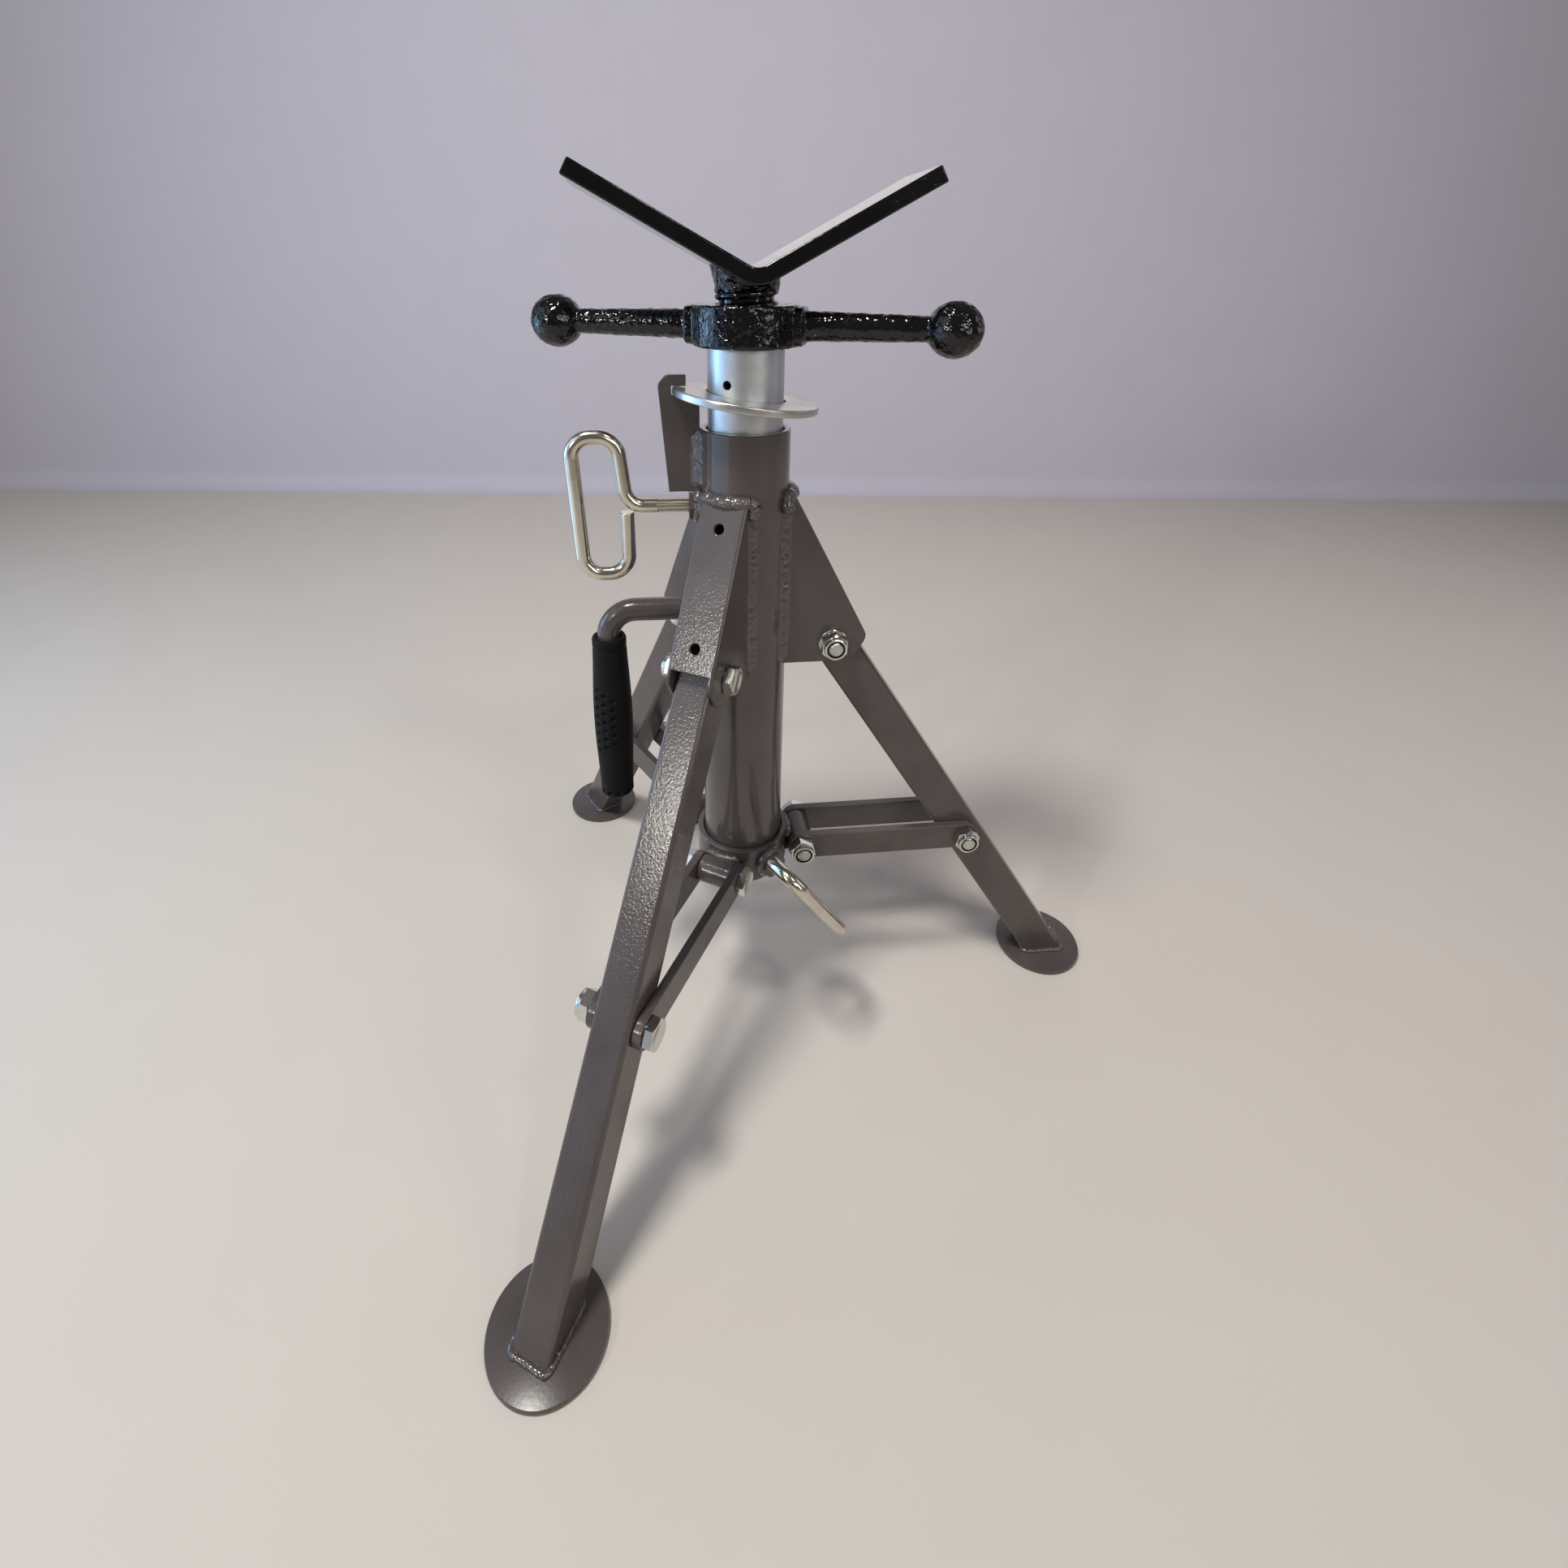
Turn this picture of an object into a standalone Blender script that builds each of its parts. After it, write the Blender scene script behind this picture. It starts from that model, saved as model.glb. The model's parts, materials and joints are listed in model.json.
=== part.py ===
"""Folding V-head pipe jack stand: post, three folding legs, telescoping mast and screw head.

Metres, +Z up. The floor is z = 0 and the origin is the middle of the three feet's bounding box.
Each leg has a station: an empty on the post's axis whose +X points out along that leg.
"""
import math

import bmesh
import bpy
from mathutils import Matrix, Vector

# Fits
GAP = 0.0003
BOLT_PLAY = 0.0003
SIDE_PLAY = 0.0003

# Post and mast
POST_OD = 0.0603
POST_WALL = 0.0040
POST_BOTTOM_Z = 0.122
POST_RIM_Z = 0.477
MAST_OD = 0.050
MAST_WALL = 0.003
MAST_LENGTH = 0.350
MAST_STICK_OUT = 0.0522
MAST_HOLE_DIA = 0.006
MAST_HOLE_BELOW_TOP = 0.022
MAST_HOLE_AZIMUTH = 266.0

# Screw, hand nut and V head
SCREW_MAJOR = 0.040
SCREW_MINOR = 0.035
SCREW_PITCH = 0.007
SCREW_LENGTH = 0.135
THREAD_ROOT_END = 0.34
THREAD_CREST_START = 0.50
THREAD_CREST_END = 0.84
NUT_OD = 0.0707
NUT_HEIGHT = 0.0255
NUT_BORE_PLAY = 0.0003
ARM_ROOT_DIA = 0.019
ARM_TIP_DIA = 0.015
BALL_DIA = 0.0345
BALL_REACH = 0.1286
ARM_AZIMUTH = 12.0
HEAD_CLEAR = 0.0089
V_THICK = 0.010
V_ARM_LENGTH = 0.1257
V_SLOPE = 28.6
V_DEPTH = 0.066
V_OUTER_BEND = 0.020
V_INNER_BEND = 0.010
V_AZIMUTH = 31.0
V_OFFSET = 0.003

# Friction plate and its bracket
CLUTCH_OD = 0.0965
CLUTCH_THICK = 0.005
CLUTCH_TILT = 7.7
CLUTCH_PLAY = 0.0008
CLUTCH_ABOVE_RIM = 0.0185
CLUTCH_HINGE_REACH = 0.0445
CLUTCH_BRACKET_THICK = 0.006
CLUTCH_BRACKET_FOOT = 0.0515
CLUTCH_BRACKET_HEAD = 0.0577
CLUTCH_BRACKET_RISE = 0.0347
CLUTCH_SLOT_PLAY = 0.0018
CLUTCH_SLOT_DEPTH = 0.0495
CLUTCH_NOTCH_SHARE = 0.6
CLUTCH_BRACKET_CHAMFER = 0.006
SIDE_AZIMUTH = 210.0

# Loop-handled lock screws
ROD_DIA = 0.010
LOCK_BELOW_RIM = 0.053
LOCK_BOSS_AF = 0.017
LOCK_BOSS_LENGTH = 0.008
LOOP_NEAR = 0.055
LOOP_FAR = 0.0905
LOOP_UP = 0.0475
LOOP_DOWN = 0.0485
LOOP_BEND = 0.0135
LOOP_LEAN = 0.005
COLLAR_SCREW_AZIMUTH = 330.0
COLLAR_SCREW_ROLL = 34.0
COLLAR_SCREW_SHORTER = 0.022

# Carry handle
HANDLE_DIA = 0.0165
HANDLE_BELOW_RIM = 0.130
HANDLE_REACH = 0.0975
GRIP_BELOW_BAR = 0.020
GRIP_DIA = 0.0245
GRIP_BELLY_DIA = 0.0285
GRIP_LENGTH = 0.1325
GRIP_CAP = 0.003
GRIP_EDGE_SHARE = 0.85
GRIP_LIP_SHARE = 0.93
GRIP_UPPER_BELLY_SHARE = 0.97
GRIP_HEIGHT_SHARES = (0.97, 0.88, 0.55, 0.32, 0.06)

# Leg brackets
LEG_AZIMUTHS = {"front": 270.0, "right": 30.0, "left": 150.0}
SHEET = 0.003
BRACKET_TOP_Z = 0.432
BRACKET_BOTTOM_Z = 0.3075
BRACKET_TOP_REACH = 0.0336
BRACKET_EAR_REACH = 0.0880
BRACKET_EAR_Z = 0.3265
BRACKET_EAR_FOOT = 0.0770
BRACKET_EAR_ROUND = 0.008
BRACKET_FOOT_ROUND = 0.014
WEB_END_Z = 0.334
WEB_HOLE_DIA = 0.007
WEB_HOLE_INSET = 0.016

# Legs and feet
LEG_WIDTH = 0.026
LEG_DEPTH = 0.030
LEG_WALL = 0.002
LEG_CORNER = 0.003
LEG_TILT = 33.0
LEG_HEAD = 0.013
LEG_SIDE_PLAY = 0.0005
PIVOT_REACH = 0.0626
PIVOT_Z = 0.323
LINK_DOWN_LEG = 0.2145
FOOT_DIA = 0.070
FOOT_THICK = 0.004

# Collar and links
COLLAR_PLAY = 0.0008
COLLAR_WALL = 0.0045
COLLAR_HEIGHT = 0.0265
COLLAR_AXIS_Z = 0.1433
BUSH_OD = 0.020
LINK_WIDTH = 0.022
LINK_THICK = 0.006
LINK_ROUND_SHARE = 0.98

# Fasteners
BOLT_DIA = 0.010
HEX_AF = 0.017
HEAD_HEIGHT = 0.0064
NUT_HEX_HEIGHT = 0.007
NUT_DOME_HEIGHT = 0.003
NUT_DOME_DIA = 0.0148
BOLT_STICK_OUT = 0.0022
WASHER_OD = 0.020
WASHER_THICK = 0.002

# Faceting
ROUND_STEPS = 36
SMALL_STEPS = 16
BEND_STEPS = 4
THREAD_STEPS = 12
ROD_RESOLUTION = 2

# Finishes
PAINT_ROUGHNESS = 0.42
ZINC_ROUGHNESS = 0.28
MAST_ROUGHNESS = 0.38
ENAMEL_ROUGHNESS = 0.25
RUBBER_ROUGHNESS = 0.75

# Sizes that follow from the ones above
POST_R = POST_OD / 2
MAST_R = MAST_OD / 2
FOOT_REACH = PIVOT_REACH + (PIVOT_Z - FOOT_THICK) * math.tan(math.radians(LEG_TILT))
POST_Y = FOOT_REACH / 4
MAST_TOP_Z = POST_RIM_Z + MAST_STICK_OUT
NUT_BOTTOM_Z = MAST_TOP_Z + GAP
NUT_TOP_Z = NUT_BOTTOM_Z + NUT_HEIGHT
V_BOTTOM_Z = NUT_TOP_Z + HEAD_CLEAR
LOCK_Z = POST_RIM_Z - LOCK_BELOW_RIM
COLLAR_INNER_R = POST_R + COLLAR_PLAY
COLLAR_OUTER_R = COLLAR_INNER_R + COLLAR_WALL
BUSH_REACH = COLLAR_OUTER_R + BUSH_OD / 2 + GAP
HOLE_DIA = BOLT_DIA + 2 * BOLT_PLAY
BRACKET_INSIDE = LEG_WIDTH + 2 * LEG_SIDE_PLAY
BRACKET_OUTSIDE = BRACKET_INSIDE + 2 * SHEET
LINK_SIDE = LEG_WIDTH / 2 + SIDE_PLAY
HANDLE_Z = POST_RIM_Z - HANDLE_BELOW_RIM
GRIP_TOP_Z = HANDLE_Z - GRIP_BELOW_BAR
HANDLE_BEND = GRIP_BELOW_BAR - GAP

PAINT = ("painted_steel", (0.085, 0.076, 0.076), PAINT_ROUGHNESS, 0.0)
ZINC = ("bright_zinc", (0.72, 0.71, 0.68), ZINC_ROUGHNESS, 1.0)
MAST_ZINC = ("satin_zinc", (0.62, 0.65, 0.68), MAST_ROUGHNESS, 1.0)
BLACK = ("black_enamel", (0.012, 0.012, 0.013), ENAMEL_ROUGHNESS, 0.0)
RUBBER = ("black_rubber", (0.014, 0.014, 0.015), RUBBER_ROUGHNESS, 0.0)


def clear_scene():
    """Start from an empty file."""
    for obj in list(bpy.data.objects):
        bpy.data.objects.remove(obj, do_unlink=True)


clear_scene()
PARTS = bpy.data.collections.new("pipe_jack_stand")
CUTTERS = bpy.data.collections.new("cutters")
bpy.context.scene.collection.children.link(PARTS)
bpy.context.scene.collection.children.link(CUTTERS)


def finish_material(name, finish):
    """One Principled material for one part."""
    _, colour, roughness, metallic = finish
    material = bpy.data.materials.new(name + "_finish")
    material.use_nodes = True
    shader = material.node_tree.nodes["Principled BSDF"]
    shader.inputs["Base Color"].default_value = (*colour, 1.0)
    shader.inputs["Roughness"].default_value = roughness
    shader.inputs["Metallic"].default_value = metallic
    material.diffuse_color = (*colour, 1.0)
    return material


def empty(name, parent=None, location=(0, 0, 0), rotation=(0, 0, 0)):
    """A station or a joint axis that parts hang on."""
    station = bpy.data.objects.new(name, None)
    station.location = location
    station.rotation_euler = rotation
    station.parent = parent
    PARTS.objects.link(station)
    return station


def circle(radius, steps=ROUND_STEPS, centre=(0.0, 0.0)):
    """A closed outline of a circle whose facets stand outside the true radius by half their sag."""
    grown = radius / math.sqrt(math.cos(math.pi / steps))
    return [(centre[0] + grown * math.cos(math.tau * i / steps),
             centre[1] + grown * math.sin(math.tau * i / steps)) for i in range(steps)]


def hexagon(across_flats):
    """A closed outline of a hexagon with a flat to each side."""
    corner = across_flats / math.sqrt(3)
    return [(corner * math.cos(math.radians(60 * i)), corner * math.sin(math.radians(60 * i))) for i in range(6)]


def rounded(corners, closed=True, steps=BEND_STEPS):
    """Round each corner, given as a point and its radius, with an arc tangent to both sides."""
    points = []
    count = len(corners)
    for index, (corner, radius) in enumerate(corners):
        here = Vector(corner)
        at_end = not closed and index in (0, count - 1)
        if radius <= 0 or at_end:
            points.append(here)
            continue
        back = (Vector(corners[index - 1][0]) - here).normalized()
        ahead = (Vector(corners[(index + 1) % count][0]) - here).normalized()
        half = back.angle(ahead) / 2
        middle = here + (back + ahead).normalized() * (radius / math.sin(half))
        start = here + back * (radius / math.tan(half)) - middle
        end = here + ahead * (radius / math.tan(half)) - middle
        turn = start.angle(end)
        for step in range(steps + 1):
            share = step / steps
            arm = start * math.sin((1 - share) * turn) + end * math.sin(share * turn)
            points.append(middle + arm / math.sin(turn))
    return [tuple(point) for point in points]


def mesh_of(curve_object):
    """The curve's evaluated shape as a welded mesh object."""
    PARTS.objects.link(curve_object)
    graph = bpy.context.evaluated_depsgraph_get()
    mesh = bpy.data.meshes.new_from_object(curve_object.evaluated_get(graph))
    bpy.data.objects.remove(curve_object, do_unlink=True)
    shape = bmesh.new()
    shape.from_mesh(mesh)
    bmesh.ops.remove_doubles(shape, verts=shape.verts, dist=0.000002)
    bmesh.ops.recalc_face_normals(shape, faces=shape.faces)
    shape.to_mesh(mesh)
    shape.free()
    return mesh


def plate(outlines, thickness, low=None):
    """A mesh of flat outlines in XY, holes included, made thick along Z from low."""
    curve = bpy.data.curves.new("outline", "CURVE")
    curve.dimensions = "2D"
    curve.fill_mode = "BOTH"
    curve.extrude = thickness / 2
    for outline in outlines:
        spline = curve.splines.new("POLY")
        spline.points.add(len(outline) - 1)
        for point, (x, y) in zip(spline.points, outline):
            point.co = (x, y, 0, 1)
        spline.use_cyclic_u = True
    mesh = mesh_of(bpy.data.objects.new("outline", curve))
    base = -thickness / 2 if low is None else low
    mesh.transform(Matrix.Translation((0, 0, base + thickness / 2)))
    return mesh


def rod(route, diameter, resolution=ROD_RESOLUTION):
    """A mesh of a round bar along a route."""
    curve = bpy.data.curves.new("bar", "CURVE")
    curve.dimensions = "3D"
    curve.bevel_depth = diameter / 2
    curve.bevel_resolution = resolution
    curve.use_fill_caps = True
    spline = curve.splines.new("POLY")
    spline.points.add(len(route) - 1)
    for point, place in zip(spline.points, route):
        point.co = (*place, 1)
    return mesh_of(bpy.data.objects.new("bar", curve))


def turned(profile, steps):
    """A mesh turned about Z from a profile of radius and height that starts and ends on the axis."""
    shape = bmesh.new()
    verts = [shape.verts.new((radius, 0, height)) for radius, height in profile]
    edges = [shape.edges.new(pair) for pair in zip(verts, verts[1:])]
    bmesh.ops.spin(shape, geom=verts + edges, cent=(0, 0, 0), axis=(0, 0, 1), angle=math.tau, steps=steps,
                   use_merge=True)
    bmesh.ops.remove_doubles(shape, verts=shape.verts, dist=0.000002)
    bmesh.ops.recalc_face_normals(shape, faces=shape.faces)
    mesh = bpy.data.meshes.new("turned")
    shape.to_mesh(mesh)
    shape.free()
    return mesh


def cone_along_x(start, end, start_dia, end_dia, steps=SMALL_STEPS):
    """A mesh of a round bar along X that tapers."""
    shape = bmesh.new()
    bmesh.ops.create_cone(shape, cap_ends=True, segments=steps, radius1=start_dia / 2, radius2=end_dia / 2,
                          depth=end - start)
    bmesh.ops.rotate(shape, verts=shape.verts, cent=(0, 0, 0), matrix=Matrix.Rotation(math.pi / 2, 3, "Y"))
    bmesh.ops.translate(shape, verts=shape.verts, vec=((start + end) / 2, 0, 0))
    mesh = bpy.data.meshes.new("taper")
    shape.to_mesh(mesh)
    shape.free()
    return mesh


def ball(radius, centre, steps=SMALL_STEPS):
    """A mesh of a sphere."""
    shape = bmesh.new()
    bmesh.ops.create_uvsphere(shape, u_segments=steps, v_segments=steps // 2 + 2, radius=radius)
    bmesh.ops.translate(shape, verts=shape.verts, vec=centre)
    mesh = bpy.data.meshes.new("ball")
    shape.to_mesh(mesh)
    shape.free()
    return mesh


def along_y(mesh):
    """Turn a mesh made along Z so that it runs along Y, from its low end at -Y."""
    mesh.transform(Matrix.Rotation(-math.pi / 2, 4, "X"))
    return mesh


def along_x(mesh):
    """Turn a mesh made along Z so that it runs along X."""
    mesh.transform(Matrix.Rotation(math.pi / 2, 4, "Y"))
    return mesh


def upright(mesh):
    """Turn a flat mesh in XY so that its outline is radius and height, with its thickness along Y."""
    mesh.transform(Matrix.Rotation(math.pi / 2, 4, "X"))
    return mesh


def part(name, mesh, finish, parent, location=(0, 0, 0), rotation=(0, 0, 0)):
    """One named part on its station, shaded smooth with sharp edges kept."""
    obj = bpy.data.objects.new(name, mesh)
    mesh.name = name
    mesh.materials.clear()
    mesh.materials.append(finish_material(name, finish))
    mesh.shade_smooth()
    mesh.set_sharp_from_angle(angle=math.radians(35))
    obj.parent = parent
    obj.location = location
    obj.rotation_euler = rotation
    PARTS.objects.link(obj)
    return obj


def combine(obj, tool_mesh, operation="DIFFERENCE"):
    """Cut a tool out of a part, or join it on, in the part's own coordinates."""
    tool = bpy.data.objects.new(obj.name + "_tool", tool_mesh)
    tool.parent = obj
    tool.hide_render = True
    tool.display_type = "WIRE"
    CUTTERS.objects.link(tool)
    boolean = obj.modifiers.new(operation.lower(), "BOOLEAN")
    boolean.operation = operation
    boolean.solver = "EXACT"
    boolean.object = tool


def pin_cutter(diameter, length, place, axis="Y"):
    """A round cutter centred on a place and lying along Y or X."""
    mesh = plate([circle(diameter / 2, SMALL_STEPS)], length)
    (along_y if axis == "Y" else along_x)(mesh)
    mesh.transform(Matrix.Translation(place))
    return mesh


def threaded_bar(major, minor, pitch, low, high):
    """A bar with a real right-hand trapezoid thread, cut square at both ends."""
    turns = math.ceil((high - low) / pitch) + 2
    crest, root = major / 2, minor / 2
    shape = bmesh.new()
    verts = []
    for turn in range(turns + 1):
        base = low + (turn - 1.5) * pitch
        for radius, share in ((root, 0.0), (root, THREAD_ROOT_END), (crest, THREAD_CREST_START),
                              (crest, THREAD_CREST_END)):
            verts.append(shape.verts.new((radius, 0, base + share * pitch)))
    edges = [shape.edges.new(pair) for pair in zip(verts, verts[1:])]
    bmesh.ops.spin(shape, geom=verts + edges, cent=(0, 0, 0), axis=(0, 0, 1), angle=math.tau,
                   dvec=(0, 0, pitch / THREAD_STEPS), steps=THREAD_STEPS)
    bmesh.ops.remove_doubles(shape, verts=shape.verts, dist=0.00001)
    for height, normal in ((low, (0, 0, -1)), (high, (0, 0, 1))):
        everything = shape.verts[:] + shape.edges[:] + shape.faces[:]
        cut = bmesh.ops.bisect_plane(shape, geom=everything, dist=0.0000001, plane_co=(0, 0, height),
                                     plane_no=normal, clear_outer=True)
        rim = [item for item in cut["geom_cut"] if isinstance(item, bmesh.types.BMEdge)]
        bmesh.ops.contextual_create(shape, geom=rim)
    bmesh.ops.recalc_face_normals(shape, faces=shape.faces)
    mesh = bpy.data.meshes.new("thread")
    shape.to_mesh(mesh)
    shape.free()
    return mesh


def v_outline(grow=0.0):
    """The bent plate's outline across the V: underside, both tips and the cradle, grown outwards."""
    slope = math.radians(V_SLOPE)
    along = Vector((math.cos(slope), math.sin(slope)))
    up = Vector((-math.sin(slope), math.cos(slope)))
    tip_low = along * V_ARM_LENGTH - up * grow
    tip_high = along * V_ARM_LENGTH + up * (V_THICK + grow)
    keel = Vector((0, -grow / math.cos(slope)))
    cradle = Vector((0, (V_THICK + grow) / math.cos(slope)))
    mirror = Vector((-1, 1))
    corners = [(keel, V_OUTER_BEND + grow), (tip_low, 0), (tip_high, 0), (cradle, V_INNER_BEND),
               (tip_high * mirror, 0), (tip_low * mirror, 0)]
    return rounded([(tuple(point), radius) for point, radius in corners])


def post(station):
    """The painted outer tube, open at both ends, with the upper lock screw's hole."""
    tube = plate([circle(POST_R), circle(POST_R - POST_WALL)], POST_RIM_Z - POST_BOTTOM_Z, POST_BOTTOM_Z)
    tube.transform(Matrix.Rotation(math.radians(SIDE_AZIMUTH), 4, "Z"))
    obj = part("post_tube", tube, PAINT, station)
    hole = pin_cutter(HOLE_DIA, POST_OD, (POST_OD / 2, 0, LOCK_Z), "X")
    hole.transform(Matrix.Translation((POST_R - POST_OD / 2, 0, 0)))
    hole.transform(Matrix.Rotation(math.radians(SIDE_AZIMUTH), 4, "Z"))
    combine(obj, hole)


def mast(station):
    """The bright inner tube that slides in the post, with its small pin hole."""
    tube = plate([circle(MAST_R), circle(MAST_R - MAST_WALL)], MAST_LENGTH, MAST_TOP_Z - MAST_LENGTH)
    obj = part("mast_tube", tube, MAST_ZINC, station)
    hole = pin_cutter(MAST_HOLE_DIA, MAST_OD, (MAST_R, 0, MAST_TOP_Z - MAST_HOLE_BELOW_TOP), "X")
    hole.transform(Matrix.Rotation(math.radians(MAST_HOLE_AZIMUTH), 4, "Z"))
    combine(obj, hole)


def hand_nut(station):
    """The cast spin nut: a ring with two tapered arms that end in balls."""
    bore = SCREW_MAJOR / 2 + NUT_BORE_PLAY
    ring = plate([circle(NUT_OD / 2), circle(bore)], NUT_HEIGHT)
    place = (0, 0, NUT_BOTTOM_Z + NUT_HEIGHT / 2)
    obj = part("hand_nut", ring, BLACK, station, place, (0, 0, math.radians(ARM_AZIMUTH)))
    root = (bore + NUT_OD / 2) / 2
    for side in (0, math.pi):
        arm = cone_along_x(root, BALL_REACH, ARM_ROOT_DIA, ARM_TIP_DIA)
        knob = ball(BALL_DIA / 2, (BALL_REACH, 0, 0))
        for piece in (arm, knob):
            piece.transform(Matrix.Rotation(side, 4, "Z"))
            combine(obj, piece, "UNION")


def head(station):
    """The bent V plate and the coarse screw coped and welded under it."""
    holder = empty("head_axis", station, (0, 0, V_BOTTOM_Z), (0, 0, math.radians(V_AZIMUTH)))
    part("v_head", upright(plate([v_outline()], V_DEPTH)), BLACK, holder, (V_OFFSET, 0, 0))
    slope = math.tan(math.radians(V_SLOPE))
    top = (SCREW_MAJOR / 2 + abs(V_OFFSET)) * slope
    bar = threaded_bar(SCREW_MAJOR, SCREW_MINOR, SCREW_PITCH, -SCREW_LENGTH, top)
    screw = part("lift_screw", bar, BLACK, holder)
    cope = upright(plate([v_outline(GAP)], V_DEPTH))
    cope.transform(Matrix.Translation((V_OFFSET, 0, 0)))
    combine(screw, cope)


def clutch(station):
    """The loose friction plate, tilted on the mast, and the slotted bracket that holds its edge."""
    tilt = math.radians(CLUTCH_TILT)
    hole = (MAST_OD + 2 * CLUTCH_PLAY + CLUTCH_THICK * math.sin(tilt)) / math.cos(tilt)
    centre_z = POST_RIM_Z + CLUTCH_ABOVE_RIM
    hinge_z = centre_z + CLUTCH_HINGE_REACH * math.tan(tilt)
    hinge = empty("clutch_hinge", station, (CLUTCH_HINGE_REACH, 0, hinge_z), (0, -tilt, 0))
    ring = plate([circle(CLUTCH_OD / 2), circle(hole / 2)], CLUTCH_THICK)
    part("clutch_plate", ring, ZINC, hinge, (-CLUTCH_HINGE_REACH / math.cos(tilt), 0, 0))

    inner = POST_R + GAP
    notch = MAST_R + (CLUTCH_OD / 2 - MAST_R) * CLUTCH_NOTCH_SHARE
    reach = CLUTCH_OD / 2 * math.cos(tilt)
    slot_low = centre_z + inner * math.tan(tilt) - CLUTCH_THICK / 2 - CLUTCH_SLOT_PLAY
    slot_high = centre_z + reach * math.tan(tilt) + CLUTCH_THICK / 2 + CLUTCH_SLOT_PLAY
    low = LOCK_Z + LOCK_BOSS_AF / math.sqrt(3) + GAP
    high = POST_RIM_Z + CLUTCH_BRACKET_RISE
    lean = (CLUTCH_BRACKET_HEAD - CLUTCH_BRACKET_FOOT) / (high - low)
    chamfer = CLUTCH_BRACKET_CHAMFER
    outline = [(inner, low), (CLUTCH_BRACKET_FOOT, low), (CLUTCH_BRACKET_HEAD - lean * chamfer, high - chamfer),
               (CLUTCH_BRACKET_HEAD - chamfer, high), (notch, high), (notch, slot_high),
               (CLUTCH_SLOT_DEPTH, slot_high), (CLUTCH_SLOT_DEPTH, slot_low), (inner, slot_low)]
    part("clutch_bracket", upright(plate([outline], CLUTCH_BRACKET_THICK)), PAINT, station)


def loop_route(tip, start):
    """The bent bar's centre line in radius and height, from its tip round the loop to its cut end."""
    near, far = start + LOOP_NEAR, start + LOOP_FAR
    turn = math.pi / 2 - math.atan(LOOP_LEAN / LOOP_UP)
    inside = LOOP_BEND * math.tan(turn / 2) - ROD_DIA / 2
    under_bend = math.sqrt((LOOP_BEND + ROD_DIA / 2) ** 2 - inside ** 2) - LOOP_BEND + 2 * GAP
    corners = [((tip, 0), 0), ((near, 0), LOOP_BEND), ((near + LOOP_LEAN, LOOP_UP), LOOP_BEND),
               ((far, LOOP_UP), LOOP_BEND), ((far - LOOP_LEAN, -LOOP_DOWN), LOOP_BEND),
               ((near, -LOOP_DOWN), LOOP_BEND), ((near, -under_bend), 0)]
    return [(radius, 0, height) for radius, height in rounded(corners, closed=False)]


def lock_screw(name, station, tip, axis_z, roll, shorter=0.0):
    """A screw bent from round bar into a finger loop; its origin is on its own axis."""
    mesh = rod(loop_route(tip, tip - shorter), ROD_DIA)
    part(name, mesh, ZINC, station, (0, 0, axis_z), (math.radians(roll), 0, 0))


def screw_boss(name, station, seat, axis_z, finish):
    """A hexagon nut welded over a screw's hole; it starts just off the tube it sits on."""
    boss = plate([hexagon(LOCK_BOSS_AF), circle(HOLE_DIA / 2, SMALL_STEPS)], LOCK_BOSS_LENGTH)
    along_x(boss)
    part(name, boss, finish, station, (seat + LOCK_BOSS_LENGTH / 2, 0, axis_z))


def carry_handle(station):
    """The painted bar that leaves the post, turns down and carries the rubber grip."""
    bottom = GRIP_TOP_Z - GRIP_LENGTH + GRIP_CAP + GAP
    corners = [((POST_R + GAP, HANDLE_Z), 0), ((HANDLE_REACH, HANDLE_Z), HANDLE_BEND), ((HANDLE_REACH, bottom), 0)]
    route = [(radius, 0, height) for radius, height in rounded(corners, closed=False, steps=8)]
    part("carry_handle", rod(route, HANDLE_DIA, 4), PAINT, station)

    bore = HANDLE_DIA / 2 + GAP
    rim, belly = GRIP_DIA / 2, GRIP_BELLY_DIA / 2
    low = -GRIP_LENGTH
    radii = (rim, rim, belly, belly * GRIP_UPPER_BELLY_SHARE, rim)
    sides = [(radius, low * share) for radius, share in zip(radii, GRIP_HEIGHT_SHARES)]
    profile = [(0, low), (rim * GRIP_EDGE_SHARE, low), *sides, (rim * GRIP_LIP_SHARE, 0), (bore, 0),
               (bore, low + GRIP_CAP), (0, low + GRIP_CAP)]
    part("handle_grip", turned(profile, SMALL_STEPS + 4), RUBBER, station, (HANDLE_REACH, 0, GRIP_TOP_Z))


def bracket_edge():
    """The bracket's outer edge in radius and height: its top point and its direction down."""
    top = Vector((BRACKET_TOP_REACH, BRACKET_TOP_Z))
    ear = Vector((BRACKET_EAR_REACH, BRACKET_EAR_Z))
    return top, (ear - top).normalized()


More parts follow.
